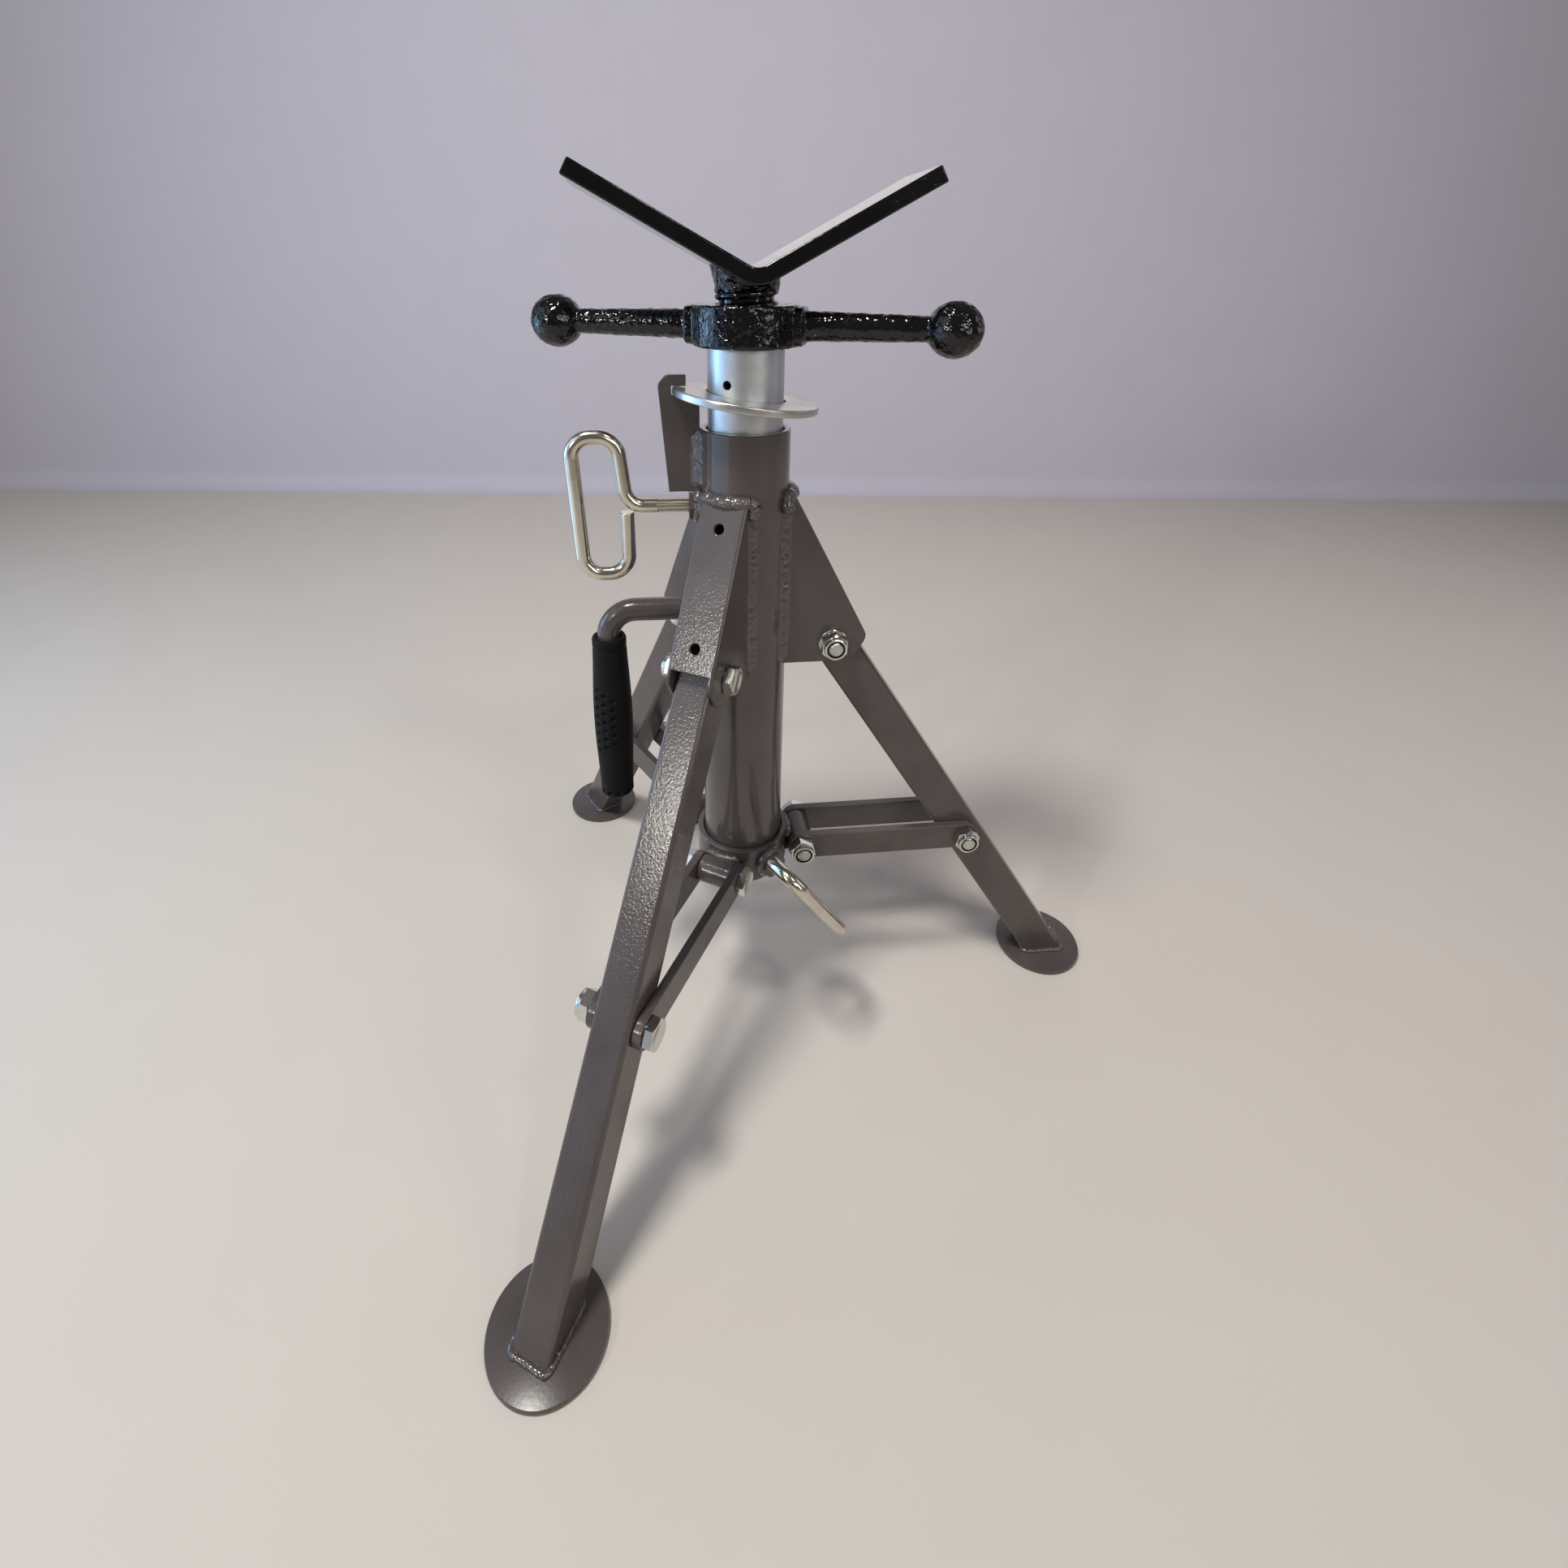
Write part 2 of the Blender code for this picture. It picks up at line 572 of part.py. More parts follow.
def leg_bracket(side, station):
    """A folded channel welded to the post: web outside with two holes, flanges that hold the leg's bolt."""
    top, down = bracket_edge()
    inward = Vector((down.y, -down.x))
    outline = rounded([((0, BRACKET_BOTTOM_Z), 0), ((BRACKET_EAR_FOOT, BRACKET_BOTTOM_Z), BRACKET_FOOT_ROUND),
                       ((BRACKET_EAR_REACH, BRACKET_EAR_Z), BRACKET_EAR_ROUND), (tuple(top), 0),
                       ((0, BRACKET_TOP_Z), 0)])
    obj = part("leg_bracket_" + side, upright(plate([outline], BRACKET_OUTSIDE)), PAINT, station)

    far = BRACKET_EAR_REACH * 2
    start = top + inward * SHEET - down * far
    end = top + inward * SHEET + down * ((BRACKET_TOP_Z - WEB_END_Z) / -down.y)
    inside = [tuple(start), tuple(end), tuple(end - inward * far), (far, 0), (-far, 0), (-far, start.y)]
    combine(obj, upright(plate([inside], BRACKET_INSIDE)))

    post_clear = plate([circle(POST_R + GAP)], POST_RIM_Z, 0)
    post_clear.transform(Matrix.Rotation(math.radians(SIDE_AZIMUTH - LEG_AZIMUTHS[side]), 4, "Z"))
    combine(obj, post_clear)
    combine(obj, plate([[(0, -far), (0, far), (-far, far), (-far, -far)]], POST_RIM_Z, 0))
    combine(obj, pin_cutter(HOLE_DIA, far, (PIVOT_REACH, 0, PIVOT_Z)))

    web_length = (top - end).length
    for distance in (WEB_HOLE_INSET, web_length - WEB_HOLE_INSET):
        drill = pin_cutter(WEB_HOLE_DIA, 6 * SHEET, (0, 0, 0), "X")
        drill.transform(Matrix.Rotation(math.atan2(-inward.y, -inward.x) * -1, 4, "Y"))
        place = top + down * distance
        drill.transform(Matrix.Translation((place.x, 0, place.y)))
        combine(obj, drill)


def leg(side, station):
    """A rectangular tube that hangs on the bracket's bolt, cut level at the foot, and its round foot plate."""
    pivot = empty("leg_pivot_" + side, station, (PIVOT_REACH, 0, PIVOT_Z))
    tilt = math.radians(LEG_TILT)
    half_depth, half_width = LEG_DEPTH / 2, LEG_WIDTH / 2

    def ring(inset, corner):
        x, y = half_depth - inset, half_width - inset
        return rounded([((x, y), corner), ((-x, y), corner), ((-x, -y), corner), ((x, -y), corner)], steps=3)

    floor_cut = FOOT_THICK + GAP - PIVOT_Z
    reach = -floor_cut / math.cos(tilt) + half_depth * math.tan(tilt) + LEG_WALL
    tube = plate([ring(0, LEG_CORNER), ring(LEG_WALL, LEG_CORNER - LEG_WALL)], LEG_HEAD + reach, -reach)
    obj = part("leg_" + side, tube, PAINT, pivot, rotation=(0, -tilt, 0))

    level = plate([[(-reach, -reach), (reach, -reach), (reach, reach), (-reach, reach)]], reach, floor_cut - reach)
    level.transform(Matrix.Rotation(tilt, 4, "Y"))
    combine(obj, level)
    for distance in (0, LINK_DOWN_LEG):
        combine(obj, pin_cutter(HOLE_DIA, 2 * LEG_WIDTH, (0, 0, -distance)))

    disc = plate([circle(FOOT_DIA / 2)], FOOT_THICK, -PIVOT_Z)
    part("foot_" + side, disc, PAINT, pivot, (FOOT_REACH - PIVOT_REACH, 0, 0))

    link_axis = (LINK_DOWN_LEG * math.sin(tilt), 0, -LINK_DOWN_LEG * math.cos(tilt))
    spacer = along_y(plate([circle(BOLT_DIA / 2, SMALL_STEPS)], LEG_WIDTH))
    part("link_pin_" + side, spacer, ZINC, pivot, link_axis)


def hex_bolt(name, station, place, grip_low, grip_high, through):
    """A hexagon bolt along Y: head seated on grip_high, shank down to grip_low less its nut."""
    end = grip_low - through
    shank = plate([circle(BOLT_DIA / 2, SMALL_STEPS)], grip_high + GAP + HEAD_HEIGHT / 2 - end, end)
    obj = part(name, along_y(shank), ZINC, station, place)
    cap = plate([hexagon(HEX_AF)], HEAD_HEIGHT, grip_high + GAP)
    combine(obj, along_y(cap), "UNION")


def lock_nut(name, station, place, seat):
    """A lock nut along Y with its collar outwards; it sits against seat on the -Y side."""
    hexagonal = plate([hexagon(HEX_AF), circle(HOLE_DIA / 2, SMALL_STEPS)], NUT_HEX_HEIGHT,
                      seat - GAP - NUT_HEX_HEIGHT)
    obj = part(name, along_y(hexagonal), ZINC, station, place)
    low = seat - GAP - NUT_HEX_HEIGHT - NUT_DOME_HEIGHT
    dome = plate([circle(NUT_DOME_DIA / 2, SMALL_STEPS), circle(HOLE_DIA / 2, SMALL_STEPS)],
                 NUT_DOME_HEIGHT + NUT_HEX_HEIGHT / 2, low)
    combine(obj, along_y(dome), "UNION")


def washer(name, station, place, seat):
    """A plain washer along Y against seat on the -Y side."""
    ring = plate([circle(WASHER_OD / 2, SMALL_STEPS), circle(HOLE_DIA / 2, SMALL_STEPS)], WASHER_THICK,
                 seat - GAP - WASHER_THICK)
    part(name, along_y(ring), ZINC, station, place)


NUT_DEPTH = NUT_HEX_HEIGHT + NUT_DOME_HEIGHT + BOLT_STICK_OUT + 2 * GAP


def pivot_fasteners(side, station):
    """The bolt, washer and nut that a leg swings on."""
    place = (PIVOT_REACH, 0, PIVOT_Z)
    half = BRACKET_OUTSIDE / 2
    hex_bolt("pivot_bolt_" + side, station, place, -half, half, WASHER_THICK + NUT_DEPTH)
    washer("pivot_washer_" + side, station, place, -half)
    lock_nut("pivot_nut_" + side, station, place, -half - GAP - WASHER_THICK)


def collar(station):
    """The ring that slides on the post, with its lock screw's hole."""
    ring = plate([circle(COLLAR_OUTER_R), circle(COLLAR_INNER_R)], COLLAR_HEIGHT,
                 COLLAR_AXIS_Z - COLLAR_HEIGHT / 2)
    obj = part("collar_ring", ring, PAINT, station)
    combine(obj, pin_cutter(HOLE_DIA, 2 * COLLAR_OUTER_R, (COLLAR_OUTER_R, 0, COLLAR_AXIS_Z), "X"))


def collar_joint(side, station):
    """One bush on the collar with the bolt and nut that its two links swing on."""
    place = (BUSH_REACH, 0, COLLAR_AXIS_Z)
    bush = plate([circle(BUSH_OD / 2, SMALL_STEPS), circle(HOLE_DIA / 2, SMALL_STEPS)], LEG_WIDTH)
    part("collar_bush_" + side, along_y(bush), PAINT, station, place)
    half = LINK_SIDE + LINK_THICK
    hex_bolt("collar_bolt_" + side, station, place, -half, half, NUT_DEPTH)
    lock_nut("collar_nut_" + side, station, place, -half)


def links(side, station):
    """Two flat bars from the collar's bush to the leg, with the bolt's two ends where they meet the leg."""
    tilt = math.radians(LEG_TILT)
    leg_point = Vector((PIVOT_REACH + LINK_DOWN_LEG * math.sin(tilt), PIVOT_Z - LINK_DOWN_LEG * math.cos(tilt)))
    collar_point = Vector((BUSH_REACH, COLLAR_AXIS_Z))
    span = leg_point - collar_point
    length = span.length
    axis = empty("link_axis_" + side, station, (collar_point.x, 0, collar_point.y),
                 (0, -math.atan2(span.y, span.x), 0))
    radius = LINK_WIDTH / 2
    turn = radius * LINK_ROUND_SHARE
    bar = rounded([((-radius, -radius), turn), ((length + radius, -radius), turn),
                   ((length + radius, radius), turn), ((-radius, radius), turn)])
    holes = [circle(HOLE_DIA / 2, SMALL_STEPS, (along, 0)) for along in (0, length)]
    middle = LINK_SIDE + LINK_THICK / 2
    for place, y in (("near", -middle), ("far", middle)):
        part("link_%s_%s" % (side, place), upright(plate([bar] + holes, LINK_THICK)), PAINT, axis, (0, y, 0))

    outer = LINK_SIDE + LINK_THICK
    inner = LEG_WIDTH / 2 + GAP
    head_end = plate([circle(BOLT_DIA / 2, SMALL_STEPS)], outer + GAP + HEAD_HEIGHT / 2 - inner, inner)
    bolt = part("link_bolt_" + side, along_y(head_end), ZINC, axis, (length, 0, 0))
    combine(bolt, along_y(plate([hexagon(HEX_AF)], HEAD_HEIGHT, outer + GAP)), "UNION")
    stud = plate([circle(BOLT_DIA / 2, SMALL_STEPS)], outer + NUT_DEPTH - inner, -outer - NUT_DEPTH)
    nut = part("link_nut_" + side, along_y(stud), ZINC, axis, (length, 0, 0))
    combine(nut, along_y(plate([hexagon(HEX_AF)], NUT_HEX_HEIGHT, -outer - GAP - NUT_HEX_HEIGHT)), "UNION")
    dome = plate([circle(NUT_DOME_DIA / 2, SMALL_STEPS)], NUT_DOME_HEIGHT + NUT_HEX_HEIGHT / 2,
                 -outer - GAP - NUT_HEX_HEIGHT - NUT_DOME_HEIGHT)
    combine(nut, along_y(dome), "UNION")


def stand():
    """The whole stand on its stations."""
    axis = empty("post_axis", None, (0, POST_Y, 0))
    side_station = empty("side_station", axis, rotation=(0, 0, math.radians(SIDE_AZIMUTH)))
    screw_station = empty("collar_screw_station", axis, rotation=(0, 0, math.radians(COLLAR_SCREW_AZIMUTH)))

    post(axis)
    mast(axis)
    hand_nut(axis)
    head(axis)
    clutch(side_station)
    screw_boss("lock_boss", side_station, POST_R + GAP, LOCK_Z, PAINT)
    lock_screw("lock_screw", side_station, MAST_R + GAP, LOCK_Z, 0)
    carry_handle(side_station)

    collar(screw_station)
    screw_boss("collar_boss", screw_station, COLLAR_OUTER_R + GAP, COLLAR_AXIS_Z, PAINT)
    lock_screw("collar_screw", screw_station, POST_R + GAP, COLLAR_AXIS_Z, COLLAR_SCREW_ROLL,
               COLLAR_SCREW_SHORTER)

    for side, azimuth in LEG_AZIMUTHS.items():
        station = empty("leg_station_" + side, axis, rotation=(0, 0, math.radians(azimuth)))
        leg_bracket(side, station)
        leg(side, station)
        pivot_fasteners(side, station)
        collar_joint(side, station)
        links(side, station)


stand()
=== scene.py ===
# %% [markdown]
# # A folding pipe jack stand
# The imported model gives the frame: every tube, plate and bolt at its real size, with its joints.
# This lesson dresses that frame. Where a solid is faceted or square-edged, a finer piece is turned,
# lofted or bevelled in its place, and each surface gets a procedural finish.

# %% Load the frame
import json
import math

import bmesh
import bpy
from mathutils import Matrix, Vector, noise


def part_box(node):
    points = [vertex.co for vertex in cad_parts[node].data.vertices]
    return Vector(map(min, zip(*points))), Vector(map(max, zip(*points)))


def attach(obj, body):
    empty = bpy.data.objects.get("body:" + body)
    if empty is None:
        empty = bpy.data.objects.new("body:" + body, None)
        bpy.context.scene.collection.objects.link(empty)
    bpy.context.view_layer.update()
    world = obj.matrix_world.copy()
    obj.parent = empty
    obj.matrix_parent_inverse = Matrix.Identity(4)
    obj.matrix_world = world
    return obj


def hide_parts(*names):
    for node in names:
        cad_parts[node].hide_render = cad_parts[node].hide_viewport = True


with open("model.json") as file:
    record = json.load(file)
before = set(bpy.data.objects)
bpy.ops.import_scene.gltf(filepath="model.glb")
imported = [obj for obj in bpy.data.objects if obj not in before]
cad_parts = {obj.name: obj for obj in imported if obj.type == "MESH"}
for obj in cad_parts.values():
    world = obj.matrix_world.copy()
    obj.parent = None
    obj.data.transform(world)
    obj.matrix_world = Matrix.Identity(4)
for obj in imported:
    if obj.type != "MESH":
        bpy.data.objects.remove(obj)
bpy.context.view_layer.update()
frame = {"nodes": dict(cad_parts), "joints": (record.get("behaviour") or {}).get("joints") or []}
JOINTS = {joint["name"]: joint for joint in frame["joints"]}
SIDES = ("front", "right", "left")

# %% [markdown]
# ## Where things are
# The post stands on its own axis, and each leg lies in an upright plane through it. A station is a matrix
# that turns "outwards, sideways, up" of one leg into the row's own X, Y and Z, so each piece is drawn once
# in plain terms and then placed on the leg, screw or handle that carries it.

# %% Stations
def middle(node):
    low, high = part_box(node)
    return (low + high) / 2


def extent(node):
    low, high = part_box(node)
    return high - low


def levels(node):
    """The heights of a node's foot and of its top."""
    low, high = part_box(node)
    return low.z, high.z


def joint_spot(name):
    return Vector(JOINTS[name]["pos_m"])


def shift(x, y, z):
    return Matrix.Translation((x, y, z))


AXIS = middle("post_tube")
POST_R = extent("post_tube").x / 2
POST_LOW, POST_RIM = levels("post_tube")


def station(azimuth):
    """Outwards is +X, sideways is +Y and up is +Z at this azimuth, from the post's foot on the floor."""
    return shift(AXIS.x, AXIS.y, 0) @ Matrix.Rotation(azimuth, 4, "Z")


def station_of(joint):
    """The station whose outward direction passes through a joint."""
    spot = joint_spot(joint)
    return station(math.atan2(spot.y - AXIS.y, spot.x - AXIS.x))


LEG_STATION = {side: station_of("leg_fold_" + side) for side in SIDES}
SIDE_STATION = station_of("lock_screw_turn")
COLLAR_SCREW_STATION = station_of("collar_screw_turn")
CENTRE_STATION = station(0.0)
UPRIGHT = Matrix.Rotation(math.pi / 2, 4, "X")
TO_Y = Matrix.Rotation(-math.pi / 2, 4, "X")
TO_X = Matrix.Rotation(math.pi / 2, 4, "Y")
print("post radius %.1f mm, rim at %.0f mm" % (POST_R * 1000, POST_RIM * 1000))

# %% [markdown]
# ## Shader sums
# A finish is easier to read as sums than as a web of boxes. `Value` wraps a socket, so `0.3 + 0.1 * grain`
# adds its own Math nodes. `Finish` owns one material and makes every other node through one method. Noise is
# sized in metres on the object itself, so a grain keeps its real scale on every piece.

# %% Shader sums
class Value:
    """A socket that takes part in Python sums."""

    def __init__(self, finish, socket):
        self.finish = finish
        self.socket = socket

    def sum_node(self, operation, left, right):
        return self.finish.node("ShaderNodeMath", {"operation": operation}, {0: left, 1: right})

    def __add__(self, other):
        return self.sum_node("ADD", self, other)

    def __sub__(self, other):
        return self.sum_node("SUBTRACT", self, other)

    def __rsub__(self, other):
        return self.sum_node("SUBTRACT", other, self)

    def __mul__(self, other):
        return self.sum_node("MULTIPLY", self, other)

    __radd__ = __add__
    __rmul__ = __mul__


class Finish:
    """One material, its nodes, and the record's slot that it belongs to."""

    def __init__(self, name, slot=None, **sockets):
        self.slot = slot
        self.material = bpy.data.materials.new(name)
        self.material.use_nodes = True
        self.tree = self.material.node_tree
        self.shader = self.tree.nodes["Principled BSDF"]
        for socket, value in sockets.items():
            self.shader.inputs[socket.replace("_", " ")].default_value = value

    def node(self, kind, settings=None, sockets=None, output=0):
        """Any node: its type, its settings, which come first, and what its sockets take."""
        made = self.tree.nodes.new(kind)
        for key, value in (settings or {}).items():
            setattr(made, key, value)
        for key, value in (sockets or {}).items():
            self.feed(made.inputs[key], value)
        return Value(self, made.outputs[output])

    def feed(self, socket, value):
        if isinstance(value, Value):
            self.tree.links.new(value.socket, socket)
        else:
            socket.default_value = value

    def noise(self, size, detail, stretch=(1.0, 1.0, 1.0), rough=0.55):
        """Cloudy variation, 0 to 1, whose lumps are about this size in metres; stretch draws them out."""
        place = self.node("ShaderNodeTexCoord", output=3)
        place = self.node("ShaderNodeVectorMath", {"operation": "MULTIPLY"}, {0: place, 1: stretch})
        return self.node("ShaderNodeTexNoise", None,
                         {"Vector": place, "Scale": 1.0 / size, "Detail": detail, "Roughness": rough})

    def step(self, value, low, high):
        """0 below low, 1 above high, smooth between."""
        return self.node("ShaderNodeMapRange", {"interpolation_type": "SMOOTHSTEP"},
                         {"Value": value, "From Min": low, "From Max": high})

    def mix(self, share, first, second):
        return self.node("ShaderNodeMix", {"data_type": "RGBA"}, {0: share, 6: first, 7: second}, output=2)

    def colour(self, value):
        self.feed(self.shader.inputs["Base Color"], value)

    def roughness(self, value):
        self.feed(self.shader.inputs["Roughness"], value)

    def bump(self, height, depth):
        """Raise the surface by height, 0 to 1, times depth in metres."""
        normal = self.node("ShaderNodeBump", None, {"Height": height, "Distance": depth, "Strength": 1.0})
        self.feed(self.shader.inputs["Normal"], normal)


def tone(red, green, blue):
    """A colour as seen on screen, 0 to 255, in the linear numbers that a shader takes."""
    def linear(level):
        share = level / 255
        return share / 12.92 if share <= 0.04045 else ((share + 0.055) / 1.055) ** 2.4
    return (linear(red), linear(green), linear(blue), 1.0)


print("a middle grey of 128 is %.3f in a shader" % tone(128, 128, 128)[0])

# %% [markdown]
# ## Powder coat
# The frame is sprayed with dark warm-grey powder that melts to a skin with a fine orange peel. A picture of
# paint would fix one scale and one light, so the peel is noise that bends the light. Shine makes the skin
# smoother. Gloss lays a clear even coat over it, for the tube and the welds, whose glints are crisp.

# %% Powder coat
PAINT_DARK, PAINT_PALE = tone(76, 69, 68), tone(87, 80, 79)
PAINT_CLOUD, PAINT_DUST = 0.045, 0.0004


def powder_coat(name, shine, peel_size, peel_depth, gloss=0.0):
    finish = Finish(name, "frame_paint", Specular_IOR_Level=0.5, Coat_Weight=gloss, Coat_Roughness=0.07)
    peel = finish.noise(peel_size, 2.0)
    dust = finish.noise(PAINT_DUST, 2.0)
    cloud = finish.noise(PAINT_CLOUD, 4.0)
    finish.colour(finish.mix(finish.step(cloud, 0.25, 0.8), PAINT_DARK, PAINT_PALE))
    finish.roughness((0.36 - 0.26 * shine) + 0.06 * cloud + 0.04 * dust)
    finish.bump(0.88 * peel + 0.12 * dust, peel_depth)
    return finish


PAINT = powder_coat("frame_powder_coat", 1.00, 0.0017, 0.00016)
POST_PAINT = powder_coat("post_powder_coat", 0.60, 0.0020, 0.00006, 0.55)
FOOT_PAINT = powder_coat("foot_powder_coat", 0.55, 0.0020, 0.00004)
WELD_PAINT = powder_coat("painted_weld", 0.80, 0.0026, 0.0005, 0.70)
print("powder coats: frame, post, feet and welds")

# %% [markdown]
# ## Black enamel
# The head and the hand nut are dipped in thick black enamel. It runs smooth on the plate and follows the
# lumps of the casting, so one finish serves both with a different lump.

# %% Black enamel
ENAMEL_DARK, ENAMEL_PALE = tone(8, 7, 8), tone(15, 14, 15)
ENAMEL_CLOUD = 0.03


def black_enamel(name, lump_size, lump_depth):
    finish = Finish(name, "black_enamel", Specular_IOR_Level=0.5)
    lumps = finish.noise(lump_size, 1.5)
    pores = finish.noise(lump_size * 0.4, 1.0)
    cloud = finish.noise(ENAMEL_CLOUD, 3.0)
    finish.colour(finish.mix(finish.step(cloud, 0.3, 0.75), ENAMEL_DARK, ENAMEL_PALE))
    finish.roughness(0.03 + 0.04 * lumps + 0.04 * cloud)
    finish.bump(0.9 * lumps + 0.1 * pores, lump_depth)
    return finish


CAST_ENAMEL = black_enamel("cast_black_enamel", 0.0028, 0.00055)
PLATE_ENAMEL = black_enamel("plate_black_enamel", 0.0046, 0.00022)
print("enamels: casting and plate")

# %% [markdown]
# ## Zinc
# Fasteners, screws and the friction plate are bright zinc with a faint straw tint in clouds; the mast is
# duller and speckled. All are one metal, told apart by colour, dullness and grain. Scuffs run along the
# piece.

# %% Zinc
ZINC_CLOUD = 0.012
SCUFF_SIZE, SCUFF_STRETCH = 0.006, (1.0, 1.0, 0.25)


def zinc(name, pale, straw, dull, depth, grain=(1.0, 1.0, 1.0), speckle=0.0006, slot="bright_zinc"):
    finish = Finish(name, slot, Metallic=1.0)
    fine = finish.noise(speckle, 2.0, grain)
    cloud = finish.noise(ZINC_CLOUD, 4.0)
    scuff = finish.step(finish.noise(SCUFF_SIZE, 6.0, SCUFF_STRETCH, 0.7), 0.58, 0.72)
    clear = 1.0 - finish.step(cloud, 0.3, 0.72)
    finish.colour(finish.mix(clear, straw, pale))
    finish.roughness(dull + 0.06 * fine + 0.05 * cloud + 0.06 * scuff)
    finish.bump(0.7 * fine + 0.3 * cloud, depth)
    return finish


BRIGHT_ZINC = zinc("bright_zinc", tone(220, 220, 216), tone(211, 208, 197), 0.12, 0.00002)
SCREW_ZINC = zinc("lock_screw_zinc", tone(216, 212, 201), tone(206, 198, 178), 0.13, 0.00002)
PLATE_ZINC = zinc("friction_plate_zinc", tone(204, 206, 203), tone(192, 192, 185), 0.26, 0.00004)
MAST_ZINC = zinc("mast_zinc", tone(206, 209, 212), tone(194, 198, 203), 0.36, 0.00006, (1.0, 1.0, 0.6),
                 0.0010, "satin_zinc")
print("zincs: fasteners, lock screws, friction plate and mast")

# %% [markdown]
# ## Rubber and nylon
# The grip is soft black rubber that takes dust, and the lock nuts hold a ring of dark nylon. Both barely
# shine, so the same finish is used a shade apart.

# %% Rubber and nylon
RUBBER_GRAIN, RUBBER_DUST, RUBBER_RISE = 0.0007, 0.014, 0.00012


def rubber(name, grey):
    finish = Finish(name, "black_rubber", Specular_IOR_Level=0.16)
    grain = finish.noise(RUBBER_GRAIN, 3.0)
    dust = finish.noise(RUBBER_DUST, 5.0)
    finish.colour(finish.mix(finish.step(dust, 0.35, 0.8), tone(grey, grey, grey),
                             tone(grey + 9, grey + 9, grey + 8)))
    finish.roughness(0.52 + 0.14 * dust + 0.06 * grain)
    finish.bump(grain, RUBBER_RISE)
    return finish


RUBBER = rubber("grip_rubber", 14)
NYLON = rubber("lock_nut_nylon", 20)
print("finishes:", len([m for m in bpy.data.materials if m.use_nodes]))

# %% [markdown]
# ## Making pieces
# Each piece ends up in the row's own place, rides on the body that carries it, wears its finish's material
# and hides the solid that it stands for. Shapes are built as bmesh, which needs no edit mode.

# %% Pieces
SMOOTH, SMOOTH_HEX, SMOOTH_GRIP, SMOOTH_LUMPS = 35.0, 28.0, 60.0, 80.0
MERGE = 0.000002


def added(name, data):
    """A new object in the scene."""
    obj = bpy.data.objects.new(name, data)
    bpy.context.scene.collection.objects.link(obj)
    return obj


def evaluated(obj):
    """What a curve or an object's modifiers give, as a mesh of its own."""
    graph = bpy.context.evaluated_depsgraph_get()
    return bpy.data.meshes.new_from_object(obj.evaluated_get(graph))


def shade(mesh, sharp):
    """Smooth shading, except where faces meet at more than this many degrees."""
    mesh.shade_smooth()
    mesh.set_sharp_from_angle(angle=math.radians(sharp))


def piece(name, mesh, finish, body, stands_for=(), sharp=SMOOTH):
    """A finished mesh as a piece of the object."""
    obj = added(name, mesh)
    mesh.materials.clear()
    mesh.materials.append(finish.material)
    shade(mesh, sharp)
    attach(obj, body)
    if stands_for:
        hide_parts(*stands_for)
    return obj


def to_mesh(shape, matrix=None):
    """A bmesh as a mesh, with its faces pointing out, moved by matrix."""
    bmesh.ops.recalc_face_normals(shape, faces=shape.faces)
    if matrix is not None:
        shape.transform(matrix)
    mesh = bpy.data.meshes.new("piece")
    shape.to_mesh(mesh)
    shape.free()
    return mesh


print("a piece is shaded smooth up to %.0f degrees" % SMOOTH)

# %% [markdown]
# ## Turned and lofted shapes
# Tubes, feet and bolts are turned on a lathe, and castings and welds change along their length. Both are
# rows of rings, so one maker, `loft`, skins rings of equally many points. Rounded corners are true arcs.

# %% Turned and lofted shapes
def loft(rings, ring_closed=False, matrix=None):
    """Skin rings of equally many points; the row of rings is capped, or closed on itself."""
    shape = bmesh.new()
    rows = [[shape.verts.new(point) for point in ring] for ring in rings]
    pairs = list(zip(rows, rows[1:]))
    if ring_closed:
        pairs.append((rows[-1], rows[0]))
    for first, second in pairs:
        count = len(first)
        for index in range(count):
            after = (index + 1) % count
            shape.faces.new((first[index], first[after], second[after], second[index]))
    if not ring_closed:
        shape.faces.new(rows[0])
        shape.faces.new(list(reversed(rows[-1])))
    return to_mesh(shape, matrix)


def round_turn(count):
    """Evenly spaced angles of a full turn."""
    return [math.tau * index / count for index in range(count)]


def level_rings(profile, steps):
    """Level rings of points up a profile of radius and height."""
    return [[(radius * math.cos(angle), radius * math.sin(angle), height) for angle in round_turn(steps)]
            for radius, height in profile]


def turned(profile, steps, hollow=False, matrix=None):
    """Turn a profile of radius and height about Z; a hollow one is a closed loop."""
    return loft(level_rings(profile, steps), hollow, matrix)


def rod(radius, half, steps, matrix):
    """A plain round rod along Z, about its middle."""
    return turned([(radius, -half), (radius, half)], steps, False, matrix)


def tube(outer, inner, low, high, edge, steps, matrix=None):
    """A tube along Z with broken edges."""
    wall = [(outer - edge, low), (outer, low + edge), (outer, high - edge), (outer - edge, high),
            (inner + edge, high), (inner, high - edge), (inner, low + edge), (inner + edge, low)]
    return turned(wall, steps, True, matrix)


def rounded(corners, closed=True, steps=8):
    """Round each corner, given as a point and its radius, with an arc tangent to both sides."""
    points = []
    count = len(corners)
    for index, (corner, radius) in enumerate(corners):
        here = Vector(corner)
        if radius <= 0 or (not closed and index in (0, count - 1)):
            points.append(here)
            continue
        back = (Vector(corners[index - 1][0]) - here).normalized()
        ahead = (Vector(corners[(index + 1) % count][0]) - here).normalized()
        half = back.angle(ahead) / 2
        centre = here + (back + ahead).normalized() * (radius / math.sin(half))
        start = here + back * (radius / math.tan(half)) - centre
        end = here + ahead * (radius / math.tan(half)) - centre
        turn = start.angle(end)
        for step in range(steps + 1):
            share = step / steps
            arm = start * math.sin((1 - share) * turn) + end * math.sin(share * turn)
            points.append(centre + arm / math.sin(turn))
    return [tuple(point) for point in points]


